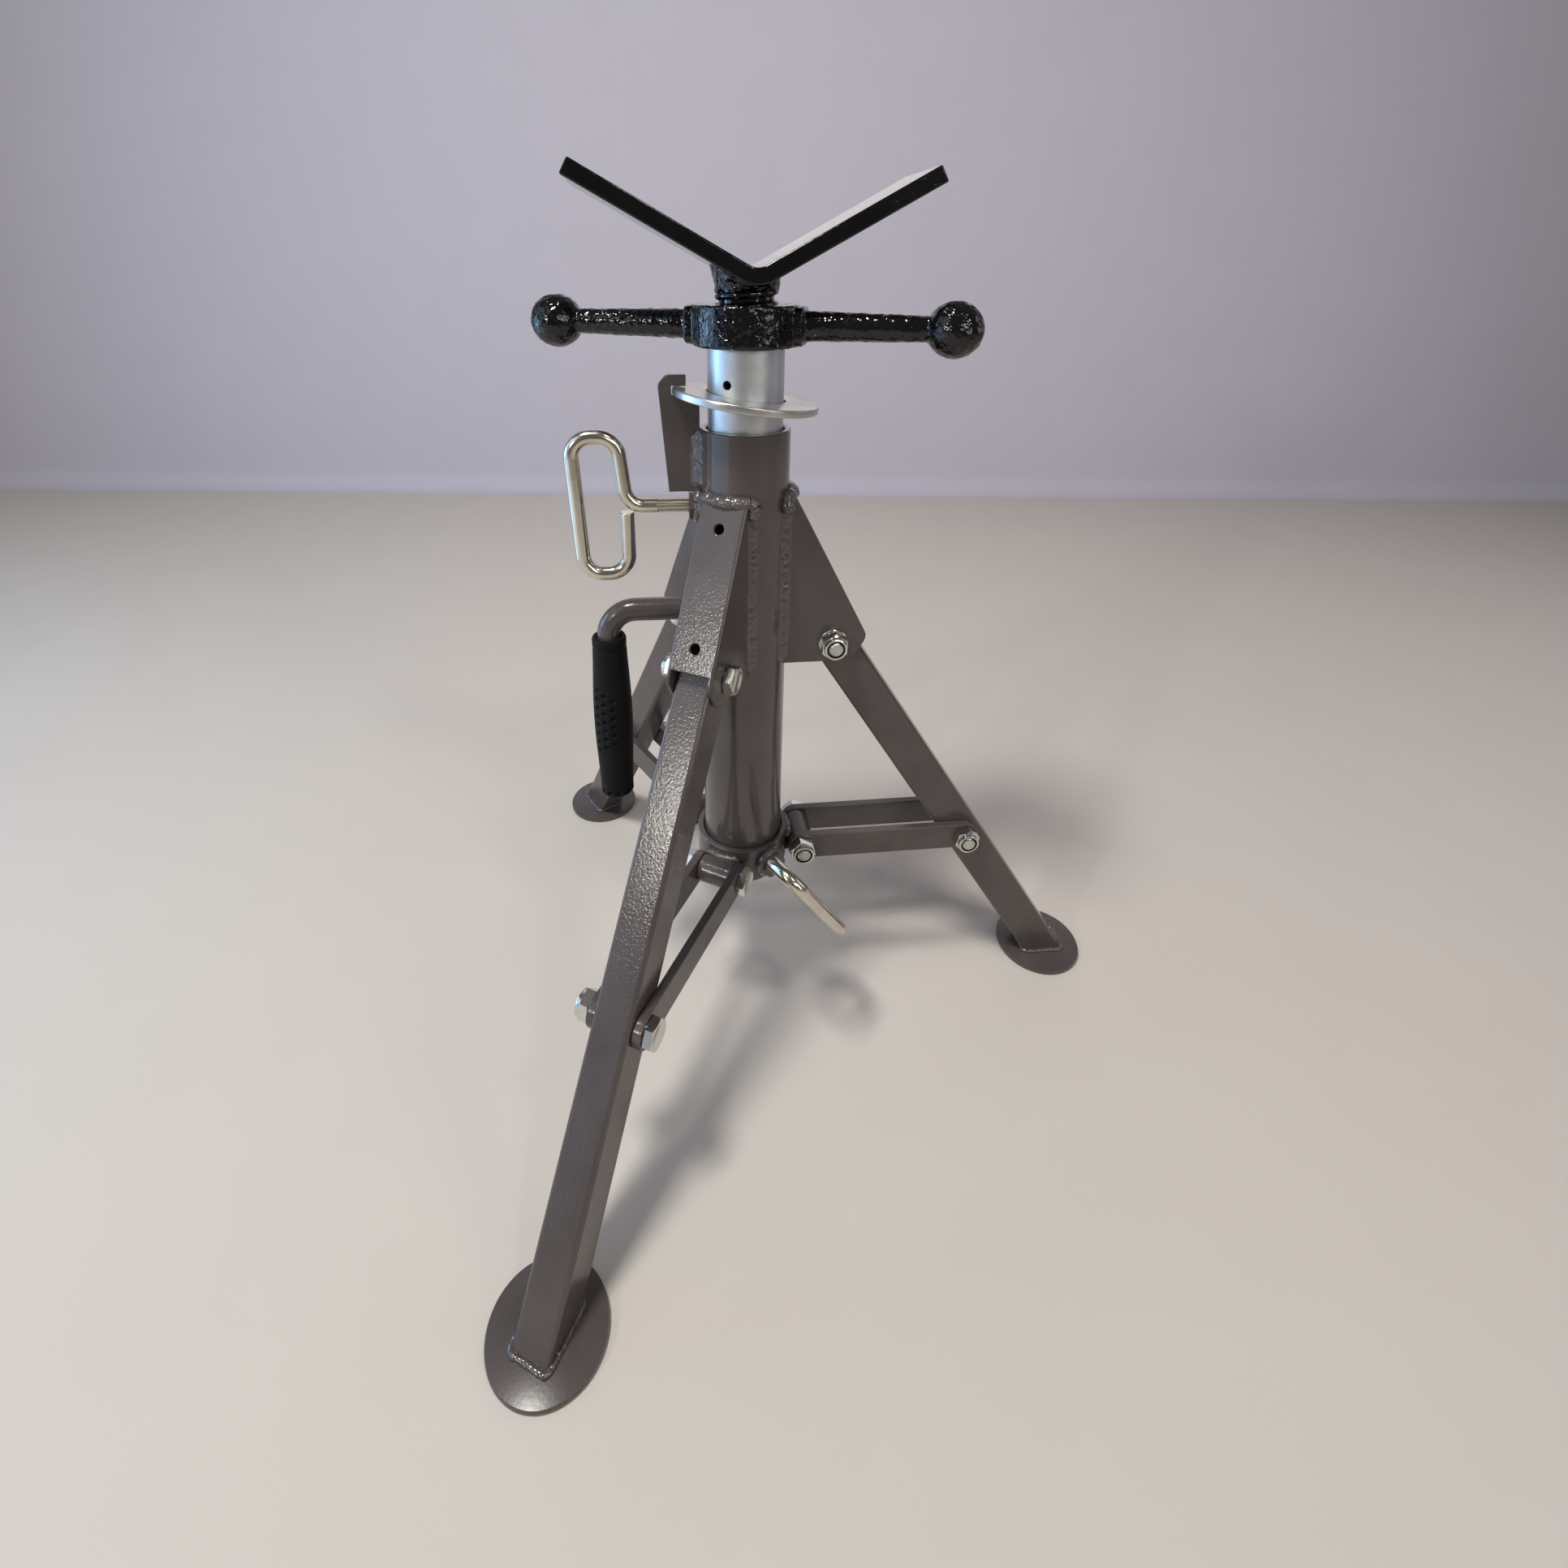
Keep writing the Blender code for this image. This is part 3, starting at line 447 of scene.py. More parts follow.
def rectangle(middle_x, half_x, half_y, corner, steps):
    """A rectangle's outline with rounded corners."""
    signs = ((1, 1), (-1, 1), (-1, -1), (1, -1))
    return rounded([((middle_x + x * half_x, y * half_y), corner) for x, y in signs], steps=steps)


def arc_across(radius, half_width, height, steps, out=0.0):
    """A level line across the front of an upright tube, from side to side."""
    sides = [half_width * (index / steps - 1) for index in range(2 * steps + 1)]
    return [(math.sqrt(radius ** 2 - aside ** 2) + out, aside, height) for aside in sides]


print("a rounded corner has", len(rectangle(0, 1, 1, 0.1, 8)) // 4, "points")

# %% [markdown]
# ## Plate, bar and thread
# Flat pieces are cut from plate and loops are bent from bar, and a curve gives both: filled and extruded for
# plate, with a round bevel for bar. A thread is one profile spun while it climbs, so it is a true helix.

# %% Plate, bar and thread
CUT_PLAY = 0.0000001
THREAD_MERGE = 0.00001
FLANK = 0.1


def add_line(curve, points, closed):
    """Join points by straight lines in a curve."""
    line = curve.splines.new("POLY")
    line.points.add(len(points) - 1)
    for spot, place in zip(line.points, points):
        spot.co = (*place, 1)
    line.use_cyclic_u = closed


def from_curve(curve):
    """A curve's shape as a welded bmesh."""
    holder = added("curve", curve)
    mesh = evaluated(holder)
    bpy.data.objects.remove(holder, do_unlink=True)
    shape = bmesh.new()
    shape.from_mesh(mesh)
    bpy.data.meshes.remove(mesh)
    bmesh.ops.remove_doubles(shape, verts=shape.verts, dist=MERGE)
    return shape


def slab(outlines, thickness):
    """A flat shape with holes, in XY, thickened along Z about its middle."""
    curve = bpy.data.curves.new("outline", "CURVE")
    curve.dimensions = "2D"
    curve.fill_mode = "BOTH"
    curve.extrude = thickness / 2
    for outline in outlines:
        add_line(curve, [(x, y, 0) for x, y in outline], True)
    return from_curve(curve)


def bar(route, radius, sides):
    """A round bar along a route of points."""
    curve = bpy.data.curves.new("bar", "CURVE")
    curve.dimensions = "3D"
    curve.bevel_depth = radius
    curve.bevel_resolution = sides
    curve.use_fill_caps = True
    add_line(curve, route, False)
    return from_curve(curve)


def cut_off(shape, height, up):
    """Cut away what lies above a level plane, or below it where up is -1, and give the cut's rim."""
    everything = shape.verts[:] + shape.edges[:] + shape.faces[:]
    cut = bmesh.ops.bisect_plane(shape, geom=everything, dist=CUT_PLAY, plane_co=(0, 0, height),
                                 plane_no=(0, 0, up), clear_outer=True)
    return [item for item in cut["geom_cut"] if isinstance(item, bmesh.types.BMEdge)]


def thread(crest, root, pitch, low, high, steps=48):
    """A right-hand screw thread along Z between two radii, cut square at both ends."""
    shape = bmesh.new()
    shoulder = crest - FLANK * (crest - root)
    verts = []
    for turn in range(math.ceil((high - low) / pitch) + 3):
        base = low + (turn - 1.5) * pitch
        for radius, share in ((root, 0.0), (root, 0.28), (shoulder, 0.44), (crest, 0.50), (crest, 0.74),
                              (shoulder, 0.80)):
            verts.append(shape.verts.new((radius, 0, base + share * pitch)))
    edges = [shape.edges.new(pair) for pair in zip(verts, verts[1:])]
    bmesh.ops.spin(shape, geom=verts + edges, cent=(0, 0, 0), axis=(0, 0, 1), angle=math.tau,
                   dvec=(0, 0, pitch / steps), steps=steps)
    bmesh.ops.remove_doubles(shape, verts=shape.verts, dist=THREAD_MERGE)
    for height, up in ((low, -1), (high, 1)):
        bmesh.ops.contextual_create(shape, geom=cut_off(shape, height, up))
    return shape


print("curves are welded at %.3f mm" % (MERGE * 1000))

# %% [markdown]
# ## Broken edges
# No real edge is a knife, and the thin light along a rounded edge is what shows where a plate ends. A bevel
# modifier rounds the edges, and weighted normals keep the flat faces flat beside them.

# %% Broken edges
def bevelled(obj, name, width, segments, method):
    bevel = obj.modifiers.new(name, "BEVEL")
    bevel.width = width
    bevel.segments = segments
    bevel.limit_method = method
    bevel.use_clamp_overlap = False
    return bevel


def even(obj):
    """Shade flat faces flat, so that only their rounded edges turn the light."""
    obj.modifiers.new("flat_faces", "WEIGHTED_NORMAL").keep_sharp = True


def soften(obj, width, segments=3, angle=40.0):
    """Break a piece's sharp edges."""
    bevelled(obj, "broken_edges", width, segments, "ANGLE").angle_limit = math.radians(angle)
    even(obj)


print("edges are broken with 3 facets or more")

# %% [markdown]
# ## Weld beads
# A weld is laid down drop by drop, so its bead is a lumpy caterpillar along the seam, painted over with the
# frame. It is lofted from rings whose size and place wander a little, with a ripple for each drop. Blender
# starts `noise_vector` from the clock, so it gets a seed first and each run lays the same beads.

# %% Weld bead
BEAD_SEED, BEAD_STEP, BEAD_SIDES = 2, 0.0007, 18
DROP_LENGTH, WANDER_LENGTH, SWELL_LENGTH, LUMP_LENGTH = 0.0028, 0.008, 0.006, 0.0026
noise.seed_set(BEAD_SEED)


def bead_spots(points, closed):
    """Evenly spaced places along a route, each with its distance from the start."""
    spots = []
    travelled = 0.0
    for first, second in zip(points, points[1:] + points[:1] if closed else points[1:]):
        length = (second - first).length
        count = max(1, round(length / BEAD_STEP))
        for index in range(count):
            spots.append((first.lerp(second, index / count), travelled + length * index / count))
        travelled += length
    if not closed:
        spots.append((points[-1], travelled))
    return spots


def bead_ring(heart, across, other, size, run, seed):
    """One lumpy ring round the bead's heart line."""
    ring = []
    for angle in round_turn(BEAD_SIDES):
        grain = Vector((run / LUMP_LENGTH, math.cos(angle) * 1.7, seed + math.sin(angle) * 1.7))
        lump = 1.0 + 0.13 * noise.noise(grain)
        ring.append(heart + (across * math.cos(angle) + other * math.sin(angle)) * size * lump)
    return ring


def bead(name, route, radius, matrix, body, seed, closed=False):
    """A weld bead along a route of points."""
    spots = bead_spots([Vector(point) for point in route], closed)
    rings = []
    last = len(spots) - 1
    for index, (spot, run) in enumerate(spots):
        ahead = spots[(index + 1) % len(spots)][0] if closed or index < last else spot
        behind = spots[index - 1][0] if closed or index > 0 else spot
        direction = (ahead - behind).normalized()
        across = direction.orthogonal().normalized()
        if abs(direction.z) < 0.9:
            across = direction.cross(Vector((0, 0, 1))).normalized()
        drop = abs(math.sin(math.pi * run / DROP_LENGTH))
        wander = noise.noise_vector(Vector((run / WANDER_LENGTH, seed * 7.3, 0.0)))
        swell = noise.noise(Vector((run / SWELL_LENGTH, seed * 3.1, 1.7)))
        size = radius * (0.90 + 0.08 * drop + 0.18 * swell)
        if not closed:
            size *= min(1.0, 0.35 + 0.16 * min(index, last - index))
        heart = spot + wander * radius * 0.14
        rings.append(bead_ring(heart, across, direction.cross(across), size, run, seed))
    piece(name, loft(rings, closed, matrix), WELD_PAINT, body, sharp=SMOOTH_LUMPS)


print("a bead's drops are %.1f mm long" % (DROP_LENGTH * 1000))

# %% [markdown]
# A weld in a wide corner is not a caterpillar but a broad low band. Its section runs from one face across to
# the other with a slight swell, and both of its edges wander.

# %% Weld band
BAND_STEP, BAND_POINTS = 0.0009, 16
BAND_SWELL, BAND_LUMP = 0.0009, 0.0008
BAND_BACK, BAND_SINK = 0.002, 0.0002
EDGE_LENGTH, COARSE_LENGTH, FINE_LENGTH = 0.007, 0.0032, 0.0013


def band(name, base, corner, faces, reach, heights, body, seed):
    """A broad weld up a corner on the post, along the post and along the plate that meets it there."""
    low, high = heights
    count = round((high - low) / BAND_STEP)
    outwards = (faces[0] + faces[1]).normalized()
    rings = []
    for index in range(count + 1):
        z = low + (high - low) * index / count
        end = min(1.0, 0.30 + 0.12 * min(index, count - index))
        edges = [noise.noise(Vector((z / EDGE_LENGTH, seed * 1.9, 5.0 * side))) for side in (0, 1)]
        spread = [reach * end * (1.0 + 0.25 * wander) for wander in edges]
        start = corner + faces[0] * spread[0] - corner.normalized() * (spread[0] ** 2 / (2 * POST_R))
        finish = corner + faces[1] * spread[1]
        back = corner - outwards * BAND_BACK
        ring = [(back.x, back.y, z)]
        for step in range(BAND_POINTS + 1):
            share = step / BAND_POINTS
            swell = math.sin(math.pi * share) ** 2
            coarse = noise.noise(Vector((z / COARSE_LENGTH, share * 2.6, seed)))
            fine = noise.noise(Vector((z / FINE_LENGTH, share * 6.0, seed + 4.0)))
            rise = end * swell * (BAND_SWELL + BAND_LUMP * (coarse + 0.5 * fine)) - BAND_SINK * (1.0 - swell)
            spot = start * (1 - share) ** 2 + corner * (2 * share * (1 - share)) + finish * share ** 2
            spot += outwards * rise
            ring.append((spot.x, spot.y, z))
        rings.append(ring)
    piece(name, loft(rings, False, base), WELD_PAINT, body, sharp=SMOOTH_LUMPS)


def post_corner(half_width, hand):
    """Where a plate's face this far off the middle meets the post, and the two faces away from there."""
    corner = Vector((math.sqrt(POST_R ** 2 - half_width ** 2), hand * half_width))
    along_post = Vector((-half_width, hand * corner.x)) / POST_R
    return corner, (along_post, Vector((1.0, 0.0)))


print("a band swells by %.1f mm" % (BAND_SWELL * 1000))

# %% [markdown]
# ## Post and mast
# Two plain tubes, but they catch the longest highlights on the stand, so they are turned with many sides and
# with the small broken edge that a sawn tube has. The mast has one pin hole near its top, cut by a boolean.

# %% Post and mast
GAP = 0.0003
TUBE_STEPS = 128
POST_WALL, MAST_WALL, SAWN_EDGE = 0.0040, 0.003, 0.0007
MAST_R = extent("mast_tube").x / 2
MAST_LOW, MAST_TOP = levels("mast_tube")
PIN_HOLE_R, PIN_HOLE_DROP, PIN_HOLE_AZIMUTH = 0.003, 0.022, math.radians(266.0)


def drill(obj, radius, depth, matrix):
    """Cut a round hole along X through one wall and keep the result."""
    cutter = added("drill", rod(radius, depth / 2, 32, matrix @ TO_X))
    obj.modifiers.new("hole", "BOOLEAN").object = cutter
    cut = evaluated(obj)
    obj.modifiers.clear()
    obj.data = cut
    bpy.data.objects.remove(cutter, do_unlink=True)
    shade(cut, SMOOTH)


post_wall = tube(POST_R, POST_R - POST_WALL, POST_LOW, POST_RIM, SAWN_EDGE, TUBE_STEPS, CENTRE_STATION)
piece("post", post_wall, POST_PAINT, "post", ("post_tube",))
mast_wall = tube(MAST_R, MAST_R - MAST_WALL, MAST_LOW, MAST_TOP, SAWN_EDGE, TUBE_STEPS, CENTRE_STATION)
mast = piece("mast", mast_wall, MAST_ZINC, "mast", ("mast_tube",))
drill(mast, PIN_HOLE_R, MAST_R, station(PIN_HOLE_AZIMUTH) @ shift(MAST_R, 0, MAST_TOP - PIN_HOLE_DROP))
print("post and mast turned")

# %% [markdown]
# ## Hand nut
# The nut is one iron casting: a ring, two tapered arms and two balls, with soft fillets where they meet.
# Hard unions would show knife edges, so the union is remeshed and smoothed, which rounds every inside corner
# as a sand mould does.

# %% Hand nut
NUT_HEIGHT, NUT_R, NUT_BORE, NUT_EDGE = 0.0255, 0.0344, 0.0203, 0.0008
NUT_LOW = MAST_TOP + GAP
NUT_HIGH = NUT_LOW + NUT_HEIGHT
ARM_START, ARM_ROOT, ARM_TIP, ARM_AZIMUTH = 0.027, 0.0097, 0.0076, math.radians(12.0)
BALL_R, BALL_REACH, BALL_RINGS, ARM_STEPS = 0.01725, 0.1286, 24, 48
LUG_END, LUG_HALF_WIDTH, LUG_HALF_HEIGHT, LUG_CORNER = 0.0380, 0.0135, 0.0119, 0.006
CAST_VOXEL, CAST_SMOOTHING = 0.00085, 5
CAST_LUMP, CAST_LUMP_RISE = 0.0036, 0.00036


def casting_shapes():
    """The ring, then the lug, arm and ball of each side."""
    half = (NUT_HIGH - NUT_LOW) / 2
    shapes = [tube(NUT_R, NUT_BORE, -half, half, NUT_EDGE, TUBE_STEPS)]
    lug = rectangle(0, LUG_HALF_HEIGHT, LUG_HALF_WIDTH, LUG_CORNER, 8)
    tilts = [math.pi * (ring + 0.02) / (BALL_RINGS + 0.04) for ring in range(BALL_RINGS + 1)]
    globe = [(BALL_R * math.sin(tilt), BALL_REACH - BALL_R * math.cos(tilt)) for tilt in tilts]
    for side in (0, math.pi):
        turn = Matrix.Rotation(side, 4, "Z") @ TO_X
        shapes.append(loft([[(x, y, z) for x, y in lug] for z in (ARM_START, LUG_END)], False, turn))
        shapes.append(turned([(ARM_ROOT, ARM_START), (ARM_TIP, BALL_REACH)], ARM_STEPS, False, turn))
        shapes.append(turned(globe, ARM_STEPS, False, turn))
    return shapes


def casting():
    """Ring, lugs, arms and balls, joined, softened and given a cast skin."""
    body, *tools = [added("casting", shape) for shape in casting_shapes()]
    for tool in tools:
        join = body.modifiers.new("join", "BOOLEAN")
        join.operation = "UNION"
        join.object = tool
    remesh = body.modifiers.new("mould", "REMESH")
    remesh.mode = "VOXEL"
    remesh.voxel_size = CAST_VOXEL
    smooth = body.modifiers.new("soften", "SMOOTH")
    smooth.iterations = CAST_SMOOTHING
    smooth.factor = 0.5
    mesh = evaluated(body)
    for obj in [body] + tools:
        bpy.data.objects.remove(obj, do_unlink=True)
    outwards = [vertex.normal.copy() for vertex in mesh.vertices]
    for vertex, normal in zip(mesh.vertices, outwards):
        rise = noise.noise(vertex.co / CAST_LUMP) + 0.4 * noise.noise(vertex.co / (CAST_LUMP * 0.45))
        vertex.co += normal * (CAST_LUMP_RISE * rise)
    mesh.transform(station(ARM_AZIMUTH) @ shift(0, 0, (NUT_LOW + NUT_HIGH) / 2))
    return mesh


nut = piece("hand_nut_casting", casting(), CAST_ENAMEL, "hand_nut", ("hand_nut",), SMOOTH_LUMPS)
print("hand nut:", len(nut.data.polygons), "faces")

# %% [markdown]
# ## V head and lift screw
# The head is thick plate bent to a V, so its keel has a large outside radius and its edges are rounded under
# the enamel. The screw below has a coarse trapezoid thread, cut here as a true helix.

# %% V head and lift screw
HEAD_RISE = 0.0089
HEAD_Z = NUT_HIGH + HEAD_RISE
HEAD_AZIMUTH = math.radians(31.0)
V_THICK, V_ARM, V_DEPTH, V_EDGE = 0.010, 0.1257, 0.066, 0.0011
V_SLOPE, V_OFFSET = math.radians(28.6), 0.003
KEEL_BEND, CRADLE_BEND = 0.020, 0.010
SCREW_CREST, SCREW_ROOT, SCREW_PITCH, SCREW_TOP = 0.020, 0.0175, 0.007, 0.0115
HEAD_STATION = station(HEAD_AZIMUTH) @ shift(0, 0, HEAD_Z)


def v_outline():
    along = Vector((math.cos(V_SLOPE), math.sin(V_SLOPE)))
    up = Vector((-math.sin(V_SLOPE), math.cos(V_SLOPE)))
    tip_low, tip_high = along * V_ARM, along * V_ARM + up * V_THICK
    mirror = Vector((-1, 1))
    return rounded([((0, 0), KEEL_BEND), (tuple(tip_low), 0), (tuple(tip_high), 0),
                    ((0, V_THICK / math.cos(V_SLOPE)), CRADLE_BEND), (tuple(tip_high * mirror), 0),
                    (tuple(tip_low * mirror), 0)])


v_plate = to_mesh(slab([v_outline()], V_DEPTH), HEAD_STATION @ shift(V_OFFSET, 0, 0) @ UPRIGHT)
soften(piece("v_plate", v_plate, PLATE_ENAMEL, "head", ("v_head",)), V_EDGE, 4)
screw = thread(SCREW_CREST, SCREW_ROOT, SCREW_PITCH, levels("lift_screw")[0] - HEAD_Z, SCREW_TOP)
piece("lift_screw_thread", to_mesh(screw, HEAD_STATION), PLATE_ENAMEL, "head", ("lift_screw",))
print("head at %.0f mm" % (HEAD_Z * 1000))

# %% [markdown]
# A heavy weld gathers where the screw meets the head. It is a skirt rather than a bead: its top follows the
# slope of the V and its foot closes in on the screw, so it is lofted downwards with lumps in its radius.

# %% Neck weld
NECK_TOP_R, NECK_FOOT_R, NECK_FOOT_Z, NECK_LUMP = 0.0232, 0.0196, -0.0022, 0.0012
NECK_LEVELS, NECK_STEPS = 14, 128
NECK_SINK, KEEL_CLEAR = 0.0012, 0.0028


def underside(x):
    """How high the V's lower face is above its keel line, this far from the screw's axis."""
    return max(KEEL_CLEAR, abs(x - V_OFFSET) * math.tan(V_SLOPE))


def neck_weld():
    """A lumpy skirt of weld from the V's underside down onto the top of the screw."""
    rings = []
    for level in range(NECK_LEVELS + 1):
        down = level / NECK_LEVELS
        ring = []
        for angle in round_turn(NECK_STEPS):
            way = Vector((math.cos(angle), math.sin(angle)))
            reach = NECK_TOP_R + (NECK_FOOT_R - NECK_TOP_R) * down ** 0.7
            reach += NECK_LUMP * noise.noise(Vector((way.x * 3.4, way.y * 3.4, down * 2.6)))
            reach += 0.5 * NECK_LUMP * noise.noise(Vector((way.x * 8.0, way.y * 8.0, down * 6.0)))
            top = underside(reach * way.x) + NECK_SINK
            foot = NECK_FOOT_Z + NECK_LUMP * noise.noise(Vector((way.x * 2.2, way.y * 2.2, 9.0)))
            ring.append((reach * way.x, reach * way.y, top + (foot - top) * down))
        rings.append(ring)
    rings.append([(SCREW_ROOT * x / math.hypot(x, y), SCREW_ROOT * y / math.hypot(x, y), z)
                  for x, y, z in rings[-1]])
    return loft(rings, False, HEAD_STATION)


piece("neck_weld", neck_weld(), CAST_ENAMEL, "head", sharp=SMOOTH_LUMPS)
print("neck weld made")

# %% [markdown]
# ## Friction plate and its bracket
# A loose zinc ring leans on the mast and bites it; its edge sits in the slot of a radial bracket. The slot
# grips the ring closely in the real one, so the bracket is cut anew from an outline around the ring's tilt.

# %% Friction plate
PLATE_TILT = math.radians(JOINTS["clutch_tilt"]["range_deg"][1])
PLATE_R, PLATE_HOLE_R, PLATE_HALF = 0.04825, 0.0264, 0.0025
RIM_ROUND, HOLE_ROUND = 0.0008, 0.0005
tilted = SIDE_STATION @ shift(0, 0, middle("clutch_plate").z) @ Matrix.Rotation(-PLATE_TILT, 4, "Y")
section = rounded([((PLATE_R, -PLATE_HALF), RIM_ROUND), ((PLATE_R, PLATE_HALF), RIM_ROUND),
                   ((PLATE_HOLE_R, PLATE_HALF), HOLE_ROUND), ((PLATE_HOLE_R, -PLATE_HALF), HOLE_ROUND)],
                  steps=4)
plate = turned(section, TUBE_STEPS, True, tilted)
piece("friction_plate", plate, PLATE_ZINC, "clutch_plate", ("clutch_plate",))

HINGE = SIDE_STATION.inverted() @ joint_spot("clutch_tilt")
BRACKET_FOOT_Z, BRACKET_HEAD_Z = levels("clutch_bracket")
BRACKET_HALF, BRACKET_FOOT, BRACKET_HEAD, BRACKET_CUT = 0.003, 0.0515, 0.0577, 0.006
BRACKET_ROUND, BRACKET_FOOT_ROUND, BRACKET_EDGE, POST_CLEAR = 0.005, 0.001, 0.0005, 0.0002
NOTCH_REACH, NOTCH_ROUND, SLOT_END, SLOT_PLAY = 0.0390, 0.0008, 0.0485, 0.0004
BRACKET_WELD, WELD_INSET = 0.0085, 0.001


def bracket_outline():
    """The radial plate, with a slot that is just tall enough for the friction plate's tilt."""
    lean = math.tan(PLATE_TILT)
    half = PLATE_HALF / math.cos(PLATE_TILT) + SLOT_PLAY
    inner = POST_R + POST_CLEAR
    side_lean = (BRACKET_HEAD - BRACKET_FOOT) / (BRACKET_HEAD_Z - BRACKET_FOOT_Z)
    low, high = HINGE.z - half, HINGE.z + half
    return rounded([((inner, BRACKET_FOOT_Z), 0), ((BRACKET_FOOT, BRACKET_FOOT_Z), BRACKET_FOOT_ROUND),
                    ((BRACKET_HEAD - BRACKET_CUT * side_lean, BRACKET_HEAD_Z - BRACKET_CUT), BRACKET_ROUND),
                    ((BRACKET_HEAD - BRACKET_CUT, BRACKET_HEAD_Z), BRACKET_ROUND),
                    ((NOTCH_REACH, BRACKET_HEAD_Z), NOTCH_ROUND), ((NOTCH_REACH, high), 0),
                    ((HINGE.x, high), 0), ((SLOT_END, high + (SLOT_END - HINGE.x) * lean), 0),
                    ((SLOT_END, low), 0), ((HINGE.x, low), 0),
                    ((inner, low - (HINGE.x - inner) * lean), 0)], steps=5)


slot_plate = to_mesh(slab([bracket_outline()], 2 * BRACKET_HALF), SIDE_STATION @ UPRIGHT)
soften(piece("friction_bracket", slot_plate, PAINT, "post", ("clutch_bracket",)), BRACKET_EDGE)
for number, hand in enumerate((-1, 1)):
    band("bracket_weld_%d" % number, SIDE_STATION, *post_corner(BRACKET_HALF, hand), BRACKET_WELD,
         (BRACKET_FOOT_Z + WELD_INSET, POST_RIM - WELD_INSET), "post", 11 + number)
print("friction plate tilted by %.1f degrees, bracket made" % math.degrees(PLATE_TILT))

# %% [markdown]
# ## Leg brackets
# Each bracket is one folded sheet: it keeps its solid's outline and gets a real bend along both folds, which
# draws the thin bright line there. Long welds tie both flanges to the post, and a short one closes the top.

# %% Leg brackets
FLANGE_OUT = extent("leg_bracket_front").x / 2
BRACKET_LOW, BRACKET_TOP = levels("leg_bracket_front")
SHEET_EDGE, SHEET_BEND, FOLD_LENGTH = 0.0008, 0.0022, 0.04
CHANNEL_WELD, CROWN_ROOM = 0.0068, 0.004
CROWN_R, CROWN_OUT, CROWN_RISE, CROWN_ROUND = 0.0048, 0.0022, 0.0012, 0.004
CROWN_DROP = Vector((0.0016, 0.0, -0.012))


def folded_sheet(side):
    """The solid's own shape with its facets joined and its edges broken; its folds get the sheet's bend."""
    shape = bmesh.new()
    shape.from_mesh(frame["nodes"]["leg_bracket_" + side].data)
    bmesh.ops.remove_doubles(shape, verts=shape.verts, dist=MERGE)
    bmesh.ops.dissolve_limit(shape, angle_limit=math.radians(0.3), verts=shape.verts, edges=shape.edges)
    weights = shape.edges.layers.float.new("bevel_weight_edge")
    for line in shape.edges:
        if len(line.link_faces) == 2 and line.calc_length() > FOLD_LENGTH:
            one, two = (face.normal for face in line.link_faces)
            if abs(one.dot(two)) < 0.1 and max(one.z, two.z) > 0.2 and line.is_convex:
                line[weights] = 1.0
    obj = piece("leg_channel_" + side, to_mesh(shape), PAINT, "post", ("leg_bracket_" + side,))
    bevelled(obj, "folds", SHEET_BEND, 6, "WEIGHT")
    soften(obj, SHEET_EDGE)


for count, side in enumerate(SIDES):
    folded_sheet(side)
    for hand in (-1, 1):
        name = "channel_weld_%s_%s" % (side, "ab"[hand > 0])
        band(name, LEG_STATION[side], *post_corner(FLANGE_OUT, hand), CHANNEL_WELD,
             (BRACKET_LOW + WELD_INSET, BRACKET_TOP - CROWN_ROOM), "post", 20 + 5 * count + hand)
    crown = arc_across(POST_R, FLANGE_OUT + CROWN_OUT, BRACKET_TOP + CROWN_RISE, 8, CROWN_OUT)
    first, *between, last = crown
    crown = rounded([(Vector(first) + CROWN_DROP, 0), (first, CROWN_ROUND), *[(spot, 0) for spot in between],
                     (last, CROWN_ROUND), (Vector(last) + CROWN_DROP, 0)], closed=False)
    bead("channel_crown_weld_" + side, crown, CROWN_R, LEG_STATION[side], "post", 40 + count)
print("leg brackets made, bent at %.1f mm" % (SHEET_BEND * 1000))

# %% [markdown]
# ## Legs and feet
# A leg is rectangular tube with rounded corners, cut level where it meets its round foot plate and welded
# all round. Its section is filled as a curve with a hole, drawn out, leaned and then cut by a level plane.

# %% Legs and feet
LEG_HALF_WIDTH = extent("leg_front").x / 2
LEG_DEPTH, LEG_WALL, LEG_CORNER, LEG_HEAD = 0.030, 0.002, 0.0030, 0.013
FOOT_R, FOOT_THICK = extent("foot_front").x / 2, extent("foot_front").z
FOOT_EDGE, FOOT_HUB, FOOT_STEPS = 0.0009, 0.0005, 96
FOOT_BEAD, FOOT_BEAD_RISE = 0.0024, 0.0003


def leg_axis(side):
    """The leg's pivot in its station, its lean from upright, and the pin that its links turn on."""
    inverse = LEG_STATION[side].inverted()
    pivot = inverse @ joint_spot("leg_fold_" + side)
    pin = inverse @ middle("link_pin_" + side)
    return pivot, math.atan2(pin.x - pivot.x, pivot.z - pin.z), pin


def leg_tube(side):
    pivot, lean, _ = leg_axis(side)
    sections = [rectangle(0, LEG_DEPTH / 2 - inset, LEG_HALF_WIDTH - inset, LEG_CORNER - inset, 6)
                for inset in (0, LEG_WALL)]
    reach = pivot.z / math.cos(lean) + LEG_DEPTH
    shape = slab(sections, LEG_HEAD + reach)
    lift = shift(0, 0, (LEG_HEAD - reach) / 2)
    shape.transform(Matrix.Translation(pivot) @ Matrix.Rotation(-lean, 4, "Y") @ lift)
    cut_off(shape, FOOT_THICK, -1)
    return to_mesh(shape, LEG_STATION[side])


def foot_profile():
    rim, top = FOOT_R - FOOT_EDGE * 0.3, FOOT_THICK - FOOT_EDGE * 0.3
    return [(FOOT_HUB, 0), (FOOT_R - FOOT_EDGE, 0), (FOOT_R, FOOT_EDGE), (FOOT_R, FOOT_THICK - FOOT_EDGE),
            (rim, top), (FOOT_R - FOOT_EDGE, FOOT_THICK), (FOOT_HUB, FOOT_THICK)]


